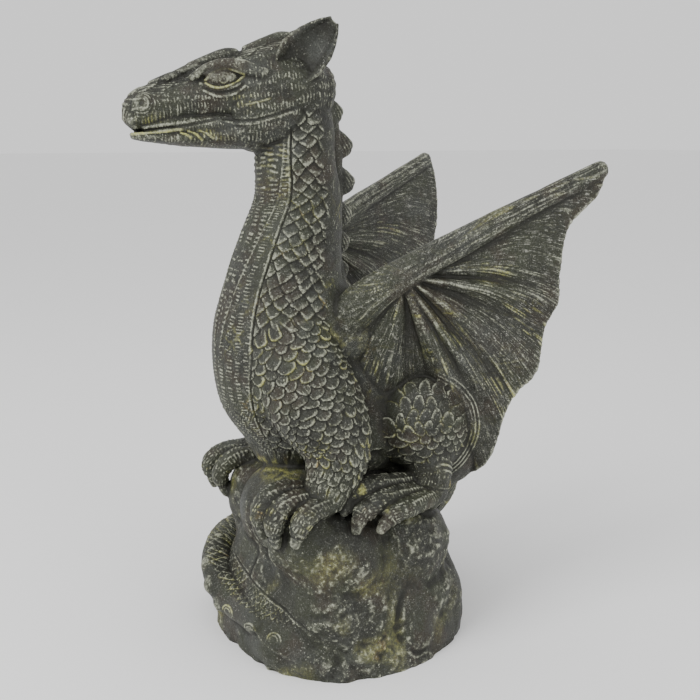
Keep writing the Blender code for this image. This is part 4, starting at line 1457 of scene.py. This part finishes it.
        for line in self.lines:
            line.draw(made, reach, height if line.crosses else np.where(side > 4, height, 0.0))
        eye = np.hypot((reach - self.eye[0]) * 0.9, height - self.eye[1])
        open_eye = flank * (away < 1.1)
        for at, rise, rub, ochre in ((4.6, 0.35, 0.40, 0.0), (2.6, 0.45, 0.55, 0.4), (1.2, -0.5, 0.0, 0.0)):
            made.line(hump((eye - at) / 0.9) * open_eye, rise, rub, ochre)

        pit = np.linalg.norm(own - self.nostril, axis=1)
        for at, rise, rub in ((5.4, 0.9, 0.30), (7.8, 0.50, 0.34), (10.2, 0.40, 0.30)):
            ring = hump((pit - at - 0.5 * jitter) / 1.2) * step(-5, 1, 127 - reach)
            made.line(ring * (0.65 + 0.35 * drift), rise, rub)
        made.line(hump(pit / 4.2), -3.6)
        made.line(hump(np.linalg.norm((own - self.nostril_hollow) / (6, 8, 5), axis=1)), -1.3)


@dataclass
class EarCarving(Region):
    """An ear: a raised rim, a smooth bowl, fine lines behind."""

    ear: Ear
    place: Matrix

    def chart(self, points: Array) -> tuple[Array, Array, Array]:
        """Share of the length, share of the half width (front above 0), and distance in front of the bowl."""
        axis, opening, across = self.ear.axes()
        off = carry(points, self.place.inverted()) * (self.ear.hand, 1, 1) - self.ear.base
        t, w = off @ axis / self.ear.length, off @ across
        s = w / self.ear.halves(np.clip(t, 0, 1), w)
        return t, s, off @ opening + self.ear.bowl(t, s)

    def near(self, points: Array) -> Array:
        """Distance from the ear's plate."""
        t, s, out = self.chart(points)
        near = np.abs(out + self.ear.thick / 2) - self.ear.thick / 2 + 0.4
        near += np.maximum(np.abs(s) - 1.05, 0) * 16
        return near + (np.maximum(t - 1.05, 0) + np.maximum(-t, 0)) * 50

    def carve(self, made: Relief, normals: Array) -> None:
        """Carves the ear."""
        t, s, out = self.chart(made.points)
        inside = step(-0.5 * self.ear.thick, 0.0, out)
        rim = hump((np.abs(s) - 0.86) / 0.26)
        made.line(rim, 1.1, 0.12)
        made.line(strokes(s * 5, t * 3, 91) * (1 - inside) * (1 - rim), 0.4, 0.45)
        specks = np.clip(made.cloud(2.4, 92) * 1.5, 0, 1)
        made.line(specks * inside * (1 - step(0.2, 0.75, t)), 0.4, 0.5)
        made.rub -= 1.1 * rim


@dataclass
class Carving:
    """All the regions, and how the skin is shared between them."""

    figure: Figure
    blend: float = 1.1
    least: float = 0.03

    def regions(self) -> list[Region]:
        """The regions of the middle, then those of each side."""
        figure = self.figure
        place = figure.head.place
        made: list[Region] = [
            NeckCarving(figure.trunk), HeadCarving(figure.head), CrestCarving(figure.crest, place),
            TailCarving(figure.tail, figure.rock), RockCarving(figure.rock),
        ]
        for arm, foot, wing, ear in zip(figure.arms, figure.feet, figure.wings, figure.ears):
            made += [
                ArmCarving(arm), DigitCarving(arm.fingers, (arm.palm,)),
                DigitCarving((*foot.toes, foot.shin)), HaunchCarving(figure.trunk.masses(foot.hand)[0]),
                WingCarving(wing), EarCarving(ear, place),
            ]
        return made

    def carve(self, points: Array, normals: Array) -> Relief:
        """Works out the carving everywhere: each point is shared out by exp(-distance / blend)."""
        regions = self.regions()
        near = np.array([region.near(points) for region in regions])
        weight = np.exp(-(near - near.min(0)) / self.blend)
        weight[weight < self.least] = 0
        weight /= weight.sum(0)
        total = Relief.plain(points)
        for region, share in zip(regions, weight):
            chosen = np.flatnonzero(share > 0)
            if len(chosen):
                part = Relief.plain(points[chosen])
                region.carve(part, normals[chosen])
                total.rise[chosen] += part.rise * share[chosen]
                total.rub[chosen] += part.rub * share[chosen]
                total.ochre[chosen] += part.ochre * share[chosen]
                total.stroke[chosen] += part.stroke * share[chosen, None]
        return total


# --- The casting --------------------------------------------------------------

def smoothed(values: Array, edges: Array, passes: int) -> Array:
    """Values at the vertices, each pass replaced by the mean of the vertex and its neighbours."""
    count = len(values)
    first, second = edges.T
    share = 1 + np.bincount(first, minlength=count) + np.bincount(second, minlength=count)
    made = values.copy()
    for _ in range(passes):
        made = np.stack([(column + np.bincount(first, column[second], count)
                          + np.bincount(second, column[first], count)) / share for column in made.T], -1)
    return made


def edges_of(shape: Shape) -> Array:
    """Each edge of a closed skin once."""
    corners = shape.triangles
    pairs = np.concatenate([corners[:, [0, 1]], corners[:, [1, 2]], corners[:, [2, 0]]])
    return pairs[pairs[:, 0] < pairs[:, 1]]


def largest_part(shape: Shape) -> Shape:
    """Drops the tiny loose bubbles that melting can leave inside: smoothing shrinks their faces away."""
    whole = corner_sums(shape, np.linalg.norm(face_crosses(shape), axis=1)) > 0.01
    fresh = np.cumsum(whole) - 1
    return Shape(shape.points[whole], fresh[shape.triangles[whole[shape.triangles].all(1)]])


@dataclass(frozen=True)
class Section:
    """One piece of the divided skin: what lies beyond a flat cut, and beyond a second plane if one is given.

    The casting is a single body. A piece may hold a limited number of triangles, so its skin is shared out
    among closed pieces that meet at flat cuts, corner for corner.
    """

    name: str
    at: Triple
    way: Triple
    budget: int
    only: tuple[Triple, Triple] | None = None

    def depth(self, points: Array) -> Array:
        """How far points are beyond the cut."""
        return (points - self.at) @ unit(self.way)

    def allowed(self, points: Array) -> Array:
        """Whether points are beyond the second plane."""
        if self.only is None:
            return np.ones(len(points), bool)
        return (points - self.only[0]) @ np.array(self.only[1]) > 0


def wing_section(name: str, hand: int) -> Section:
    """The cut of a wing, which slopes outwards below the shoulder and leaves the neck alone."""
    return Section(name, (55 * hand, 0, 290), (hand, 0, 0.5), 125000, ((0, -35, 310), (0, 1, -1.2)))


SECTIONS = (
    wing_section("left_wing", 1),
    wing_section("right_wing", -1),
    Section("below_ground", (0, 0, 0), (0, 0, -1), 0),
    Section("rock", (0, 0, 85), (0, 0, -1), 150000),
    Section("head", (0, 0, 396), (0, 0, 1), 152000),
    Section("ledge", (0, 0, 165), (0, 0, -1), 190000),
    Section("body", (0, 0, 0), (0, 0, 1), 197000),
)


@dataclass
class Casting:
    """The statue's skin, carved, cut flat underneath, divided into pieces and thinned to their budgets."""

    material: bpy.types.Material
    figure: Figure = field(default_factory=Figure)
    inside: float = 0.9998  # the share of the solid's box that the skin fills at most
    spare: int = 2500  # triangles kept free for the flat faces at the cuts
    fine_step: float = 0.25  # the relief that counts as fully sharp
    broad_step: float = 0.80  # and as a full bulge

    def skin(self) -> tuple[Shape, Relief]:
        """The carved skin inside the solid's box, and the carving on it."""
        base = largest_part(self.figure.melted())
        normals = vertex_normals(base)
        relief = Carving(self.figure).carve(base.points, normals)
        points = base.points + normals * relief.rise[:, None]
        low, high = (np.array(side) / MM for side in CAD_BOX)
        span = np.stack([points.min(0), points.max(0)])
        middle = span.mean(0) * (1, 1, 0)
        room = np.append((high[:2] - low[:2]) / (span[1] - span[0])[:2], high[2] / span[1, 2])
        shift = np.where(room < 1, (low + high) / 2 - middle, 0.0) * (1, 1, 0)
        scale = np.minimum(room, 1.0) * self.inside
        return Shape((points - middle) * scale + middle + shift, base.triangles), relief

    @staticmethod
    def divide(shape: Shape) -> Array:
        """Moves corners onto the cuts and says which section each triangle is in.

        Along each edge that crosses a cut, the nearer end slides along the edge onto the cut, so no triangle
        is split. A triangle left lying in the cut goes with its neighbour.

        Args:
            shape: the skin, whose points are moved in place.

        Returns:
            The number of each triangle's section.
        """
        first, second = edges_of(shape).T
        corners = shape.triangles
        label = np.full(len(corners), -1)
        for number, section in enumerate(SECTIONS):
            depth = section.depth(shape.points)
            if section is not SECTIONS[-1]:
                crossing = depth[first] * depth[second] < 0
                one, other = first[crossing], second[crossing]
                swap = np.abs(depth[one]) > np.abs(depth[other])
                one, other = np.where(swap, other, one), np.where(swap, one, other)
                share = depth[one] / (depth[one] - depth[other])
                shape.points[one] += (shape.points[other] - shape.points[one]) * share[:, None]
                depth[one] = 0
            inside = (depth[corners].sum(1) > 0) & section.allowed(shape.points)[corners].all(1)
            free = label == -1
            label[free & inside] = number
            flat = np.flatnonzero(free & (depth[corners] == 0).all(1))
            if len(flat):
                near = np.isin(corners, corners[flat]).any(1)
                near[flat] = False
                around = corners[near]
                keys = np.concatenate([around[:, k] * len(depth) + around[:, (k + 1) % 3] for k in range(3)])
                mine = keys[np.tile(label[near] == number, 3)]
                for k in range(3):
                    reverse = corners[flat, (k + 1) % 3] * len(depth) + corners[flat, k]
                    label[flat[np.isin(reverse, mine)]] = number
        return label

    def piece(self, number: int, shape: Shape, label: Array, marks: dict[str, Array]) -> bpy.types.Object:
        """One piece: its part of the skin, thinned with its border kept, closed with flat faces at cuts."""
        section = SECTIONS[number]
        mine = shape.triangles[label == number]
        used = np.zeros(len(shape.points), bool)
        used[mine] = True
        shared = np.zeros(len(shape.points), bool)
        shared[shape.triangles[label != number]] = True
        fresh = np.cumsum(used) - 1
        obj = mesh_object(section.name, shape.points[used], fresh[mine])
        mesh = obj.data
        for key, values in marks.items():
            kind, word = ("FLOAT", "value") if values.ndim == 1 else ("FLOAT_VECTOR", "vector")
            attribute = mesh.attributes.new(key, kind, "POINT")
            attribute.data.foreach_set(word, values[used].astype(np.float32).ravel())
        group = obj.vertex_groups.new(name="border")
        group.add(np.flatnonzero(shared[used]).tolist(), 1.0, "REPLACE")
        if len(mine) > section.budget:
            thin = obj.modifiers.new("thin", "DECIMATE")
            thin.ratio = (section.budget - self.spare) / len(mine)
            thin.vertex_group = group.name
            thin.invert_vertex_group = True
            made = bpy.data.meshes.new_from_object(obj.evaluated_get(bpy.context.evaluated_depsgraph_get()))
            obj.modifiers.clear()
            obj.data = made
            bpy.data.meshes.remove(mesh)
            made.name = section.name
        obj.vertex_groups.clear()
        self.close(obj.data)
        obj.data.materials.append(self.material)
        return obj

    @staticmethod
    def loops(edges: list) -> list[list]:
        """The corners of each closed loop of open edges, in order."""
        left = dict.fromkeys(edges)
        made = []
        while left:
            edge = next(iter(left))
            walk = [edge.verts[0]]
            while edge is not None:
                del left[edge]
                walk.append(edge.other_vert(walk[-1]))
                edge = next((other for other in walk[-1].link_edges if other in left), None)
            made.append(walk[:-1])
        return made

    @classmethod
    def close(cls, mesh: bpy.types.Mesh) -> None:
        """Closes the flat cuts, with a sharp edge round them so that they don't bend the skin's shading.

        Where a triangle of the skin lies in a cut and the cut's face repeats it, both go.
        """
        work = bmesh.new()
        work.from_mesh(mesh)
        for face in work.faces:
            face.smooth = True
        border = [edge for edge in work.edges if edge.is_boundary]
        for edge in border:
            edge.smooth = False
        caps = [work.faces.new(loop) for loop in cls.loops(border)]
        caps = bmesh.ops.triangulate(work, faces=caps)["faces"]
        for face in caps:
            face.smooth = False
        doubled = set()
        for edge in work.edges:
            if len(edge.link_faces) > 2:
                for face in edge.link_faces:
                    same = [other for other in edge.link_faces if set(other.verts) == set(face.verts)]
                    doubled.update(same if len(same) > 1 else ())
        bmesh.ops.delete(work, geom=[face for face in work.faces if face in doubled], context="FACES_ONLY")
        for loose, context in ((work.edges, "EDGES"), (work.verts, "VERTS")):
            bmesh.ops.delete(work, geom=[part for part in loose if not part.link_faces], context=context)
        bmesh.ops.recalc_face_normals(work, faces=work.faces)
        work.to_mesh(mesh)
        work.free()

    def model(self) -> list[bpy.types.Object]:
        """The finished pieces."""
        shape, relief = self.skin()
        edges = edges_of(shape)
        normals = vertex_normals(shape)
        fine = smoothed(shape.points, edges, 3)
        broad = smoothed(fine, edges, 24)
        sharp = ((shape.points - fine) * normals).sum(1) / self.fine_step
        bulge = ((fine - broad) * normals).sum(1) / self.broad_step
        marks = {"rub": relief.rub, "ochre": relief.ochre, "sharp": np.clip(sharp, -1, 1),
                 "bulge": np.clip(bulge, -1, 1), "stroke": relief.stroke}
        label = self.divide(shape)
        made = []
        for number, section in enumerate(SECTIONS):
            if section.budget:
                made.append(self.piece(number, shape, label, marks))
                log.info("%s: %d triangles", section.name, len(made[-1].data.polygons))
        return made


# --- The finish ---------------------------------------------------------------

class Term:
    """A shader value that can be added, multiplied and so on with others and with numbers."""

    def __init__(self, nodes: "Nodes", socket: bpy.types.NodeSocket) -> None:
        self.nodes = nodes
        self.socket = socket

    def __add__(self, other: "Term | float") -> "Term":
        return self.nodes.math("ADD", self, other)

    def __radd__(self, other: float) -> "Term":
        return self.nodes.math("ADD", other, self)

    def __sub__(self, other: "Term | float") -> "Term":
        return self.nodes.math("SUBTRACT", self, other)

    def __rsub__(self, other: float) -> "Term":
        return self.nodes.math("SUBTRACT", other, self)

    def __mul__(self, other: "Term | float") -> "Term":
        return self.nodes.math("MULTIPLY", self, other)

    def __rmul__(self, other: float) -> "Term":
        return self.nodes.math("MULTIPLY", other, self)

    def __truediv__(self, other: "Term | float") -> "Term":
        return self.nodes.math("DIVIDE", self, other)

    def __rtruediv__(self, other: float) -> "Term":
        return self.nodes.math("DIVIDE", other, self)

    def step(self, low: float, high: float) -> "Term":
        """0 below `low`, 1 above `high`, smooth between; falling where `low` is above `high`."""
        ends = {"From Min": min(low, high), "From Max": max(low, high)}
        to = {"To Min": float(low > high), "To Max": float(low < high)}
        node = self.nodes.add("ShaderNodeMapRange", {"interpolation_type": "SMOOTHSTEP"},
                              {"Value": self, **ends, **to})
        return Term(self.nodes, node.outputs["Result"])

    def held(self) -> "Term":
        """Kept between 0 and 1."""
        return self.nodes.math("MINIMUM", self.nodes.math("MAXIMUM", self, 0.0), 1.0)


class Nodes:
    """Makes the nodes of one material."""

    def __init__(self, name: str) -> None:
        self.material = bpy.data.materials.new(name)
        self.material.use_nodes = True
        self.tree = self.material.node_tree
        self.tree.nodes.clear()

    def add(self, kind: str, settings: dict[str, object], values: dict[object, object]) -> bpy.types.Node:
        """Adds a node: its settings first, then its sockets, each a number, a colour or a node's output."""
        node = self.tree.nodes.new(kind)
        for key, value in settings.items():
            setattr(node, key, value)
        for key, value in values.items():
            if isinstance(value, Term):
                self.tree.links.new(value.socket, node.inputs[key])
            else:
                node.inputs[key].default_value = value
        return node

    def math(self, operation: str, *terms: "Term | float") -> Term:
        """One step of arithmetic."""
        node = self.add("ShaderNodeMath", {"operation": operation}, dict(enumerate(terms)))
        return Term(self, node.outputs[0])

    def mix(self, share: "Term | float", first: "Term | Triple", second: "Term | Triple") -> Term:
        """A colour between two colours."""
        colours = {6: first if isinstance(first, Term) else (*first, 1.0),
                   7: second if isinstance(second, Term) else (*second, 1.0)}
        node = self.add("ShaderNodeMix", {"data_type": "RGBA"}, {0: share, **colours})
        return Term(self, node.outputs[2])

    def attribute(self, name: str, output: str = "Fac") -> Term:
        """A value carried by the piece's points."""
        return Term(self, self.add("ShaderNodeAttribute", {"attribute_name": name}, {}).outputs[output])

    def coordinates(self) -> Term:
        """The piece's own coordinates, in metres."""
        return Term(self, self.add("ShaderNodeTexCoord", {}, {}).outputs["Object"])

    def noise(self, at: Term, size: float, detail: float = 3.0, roughness: float = 0.55) -> Term:
        """Cloudy noise, about 0.5 in the middle, with lumps of this size in the units of `at`."""
        node = self.add("ShaderNodeTexNoise", {}, {"Vector": at, "Scale": 1 / size, "Detail": detail,
                                                   "Roughness": roughness})
        return Term(self, node.outputs["Fac"])

    def cells(self, at: Term, size: float, feature: str = "F1") -> Term:
        """Distance to the nearest of scattered points, in cell sizes."""
        node = self.add("ShaderNodeTexVoronoi", {"feature": feature}, {"Vector": at, "Scale": 1 / size})
        return Term(self, node.outputs["Distance"])

    def finish(self, colour: Term, roughness: "Term | float", bumps: list[tuple[Term, float, float]],
               sheen: float) -> bpy.types.Material:
        """Ends the material. Each bump is a height, its depth in metres and its strength."""
        normal: dict[object, object] = {}
        for height, depth, strength in bumps:
            node = self.add("ShaderNodeBump", {},
                            {"Strength": strength, "Distance": depth, "Height": height, **normal})
            normal = {"Normal": Term(self, node.outputs["Normal"])}
        surface = self.add("ShaderNodeBsdfPrincipled", {}, {"Base Color": colour, "Roughness": roughness,
                                                            "Specular IOR Level": sheen, **normal})
        self.add("ShaderNodeOutputMaterial", {}, {"Surface": Term(self, surface.outputs["BSDF"])})
        return self.material


@dataclass(frozen=True)
class StonePaint:
    """Cast stone painted nearly black, dry-brushed pale grey on what stands out, washed yellow in places."""

    # dark is the darkest tone of the paint, and also the painted shade laid into hollows and grooves
    dark: Triple = (0.0120, 0.0120, 0.0085)
    middle: Triple = (0.0300, 0.0310, 0.0225)
    green: Triple = (0.0330, 0.0370, 0.0200)
    brown: Triple = (0.0340, 0.0255, 0.0165)
    slate: Triple = (0.0560, 0.0600, 0.0540)
    pale: Triple = (0.330, 0.340, 0.260)
    white: Triple = (0.52, 0.52, 0.45)
    yellow: Triple = (0.430, 0.430, 0.120)
    orange: Triple = (0.400, 0.230, 0.060)

    def material(self) -> bpy.types.Material:
        """The finish, worked out from the piece's own coordinates and the marks its points carry."""
        n = Nodes("painted_cast_stone")
        at = n.coordinates()
        rub, ochre = n.attribute("rub"), n.attribute("ochre")
        sharp, bulge = n.attribute("sharp"), n.attribute("bulge")
        stroke = n.attribute("stroke", "Vector")
        wide, middle = n.noise(at, 0.050, 4.0), n.noise(at, 0.013, 5.0, 0.6)
        grain, dust = n.noise(at, 0.0032, 4.0, 0.68), n.noise(at, 0.0011, 3.0, 0.7)
        base = n.mix(middle.step(0.30, 0.62), self.dark, self.middle)
        base = n.mix(wide.step(0.42, 0.62) * 0.8, base, self.green)
        base = n.mix(n.noise(at, 0.033, 4.0).step(0.50, 0.64) * 0.8, base, self.brown)
        base = n.mix(n.noise(at, 0.041, 3.0).step(0.53, 0.68) * 0.55, base, self.slate)
        base = n.mix(grain.step(0.48, 0.70) * 0.45, base, self.slate)
        base = n.mix(dust.step(0.50, 0.66) * 0.55, base, self.slate)
        base = n.mix(dust.step(0.49, 0.34) * 0.75, base, self.dark)
        raised = (rub * 0.80 + sharp * 0.80 + bulge * 0.20 - 0.14).held()
        patchy = (grain.step(0.34, 0.60) * 0.70 + 0.30) * (middle.step(0.28, 0.62) * 0.70 + 0.30)
        flecks = n.noise(at, 0.0019, 3.0, 0.70)
        brushed = raised * patchy * (dust.step(0.25, 0.55) * 0.4 + 0.6)
        brushed = (brushed + raised.step(0.04, 0.34) * flecks.step(0.57, 0.66) * 0.80).held()
        colour = n.mix(brushed.step(0.03, 0.85) * 0.95, base, self.pale)
        wash = (ochre * (flecks.step(0.40, 0.60) * 0.75 + 0.25) * 1.20).held()
        warm = n.mix(n.noise(at, 0.018, 2.0).step(0.60, 0.70) * 0.7, self.yellow, self.orange)
        colour = n.mix(wash * 0.85, colour, warm)
        hairs = n.noise(stroke, 1.0, 2.0).step(0.57, 0.66) * dust.step(0.35, 0.6) * 0.60
        scratch = n.cells(at, 0.0125, "DISTANCE_TO_EDGE").step(0.030, 0.008)
        scratch = scratch * n.noise(at, 0.016).step(0.55, 0.62)
        specks = n.cells(at, 0.0026).step(0.24, 0.12) * n.noise(at, 0.011, 3.0).step(0.46, 0.58)
        salt = dust.step(0.59, 0.70) * middle.step(0.38, 0.60)
        marks = (hairs + scratch * 0.10 + specks * 0.40 + salt * 0.45).held()
        colour = n.mix(marks * (grain.step(0.30, 0.58) * 0.8 + 0.2), colour, self.white)
        # Painted shade: the colour darkens towards near black in broad hollows (bulge below 0) and along fine
        # grooves (sharp below 0), where shade falls
        colour = n.mix((0.0 - bulge).step(0.05, 0.70) * 0.75, colour, self.dark)
        colour = n.mix((0.0 - sharp).step(0.10, 0.80) * 0.60, colour, self.dark)
        roughness = 0.44 + brushed * 0.20 + grain * 0.22 + (middle - 0.5) * 0.30
        bumps = [(middle, 0.0013, 0.50), (grain, 0.0010, 0.85), (dust, 0.00035, 0.90)]
        return n.finish(colour, roughness, bumps, 0.30)


@dataclass(frozen=True)
class Studio:
    """The pale floor, the soft lights and the camera; all in metres but the floor's reach, in millimetres."""

    floor: Triple = (0.92, 0.92, 0.92)
    reach: float = 30000.0
    aim: Triple = (0.0, 0.0, 0.22)
    stand: Triple = (0.715, -0.413, 0.407)
    azimuth: float = 60.0
    pitch: float = 11.9
    sensor: float = 36.0
    focal: float = 36.0 / 0.7

    def ground(self) -> bpy.types.Object:
        """A plain floor that runs far beyond the view."""
        corners = np.array([(-1, -1, 0), (1, -1, 0), (1, 1, 0), (-1, 1, 0)], float)
        ground = mesh_object("floor", corners * self.reach, np.array([(0, 1, 2), (0, 2, 3)]))
        n = Nodes("studio_floor")
        tone = n.mix(n.noise(n.coordinates(), 1.5), self.floor, tuple(0.985 * part for part in self.floor))
        ground.data.materials.append(n.finish(tone, 0.9, [], 0.1))
        return ground

    def lamp(self, name: str, place: Triple, size: float, power: float) -> None:
        """A square soft lamp aimed at the statue's middle."""
        light = bpy.data.lights.new(name, "AREA")
        light.size = size
        light.energy = power
        made = bpy.data.objects.new(name, light)
        made.location = place
        made.rotation_euler = (Vector(self.aim) - Vector(place)).to_track_quat("-Z", "Y").to_euler()
        bpy.context.scene.collection.objects.link(made)

    def light(self) -> None:
        """A pale even sky and two soft lamps."""
        world = bpy.data.worlds.new("studio")
        world.use_nodes = True
        sky = world.node_tree.nodes["Background"].inputs
        sky["Color"].default_value = (1.0, 1.0, 1.0, 1.0)
        sky["Strength"].default_value = 1.05
        bpy.context.scene.world = world
        self.lamp("key", (0.35, -1.45, 1.55), 0.9, 26.0)
        self.lamp("fill", (1.9, 0.6, 0.9), 1.4, 9.0)

    def camera(self) -> None:
        """The camera, at the dragon's left front, a little above its wings."""
        lens = bpy.data.cameras.new("camera")
        lens.sensor_width = self.sensor
        lens.lens = self.focal
        camera = bpy.data.objects.new("camera", lens)
        camera.location = self.stand
        camera.rotation_euler = (math.radians(90 - self.pitch), 0, math.radians(self.azimuth))
        bpy.context.scene.collection.objects.link(camera)
        bpy.context.scene.camera = camera


def main() -> None:
    """Builds the statue and its surroundings."""
    logging.basicConfig(level=logging.INFO, format="%(message)s")
    for piece in Casting(material=StonePaint().material()).model():
        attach(piece, BODY)
        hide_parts(NODE)
    studio = Studio()
    studio.ground()
    studio.light()
    studio.camera()


if __name__ == "__main__":
    main()
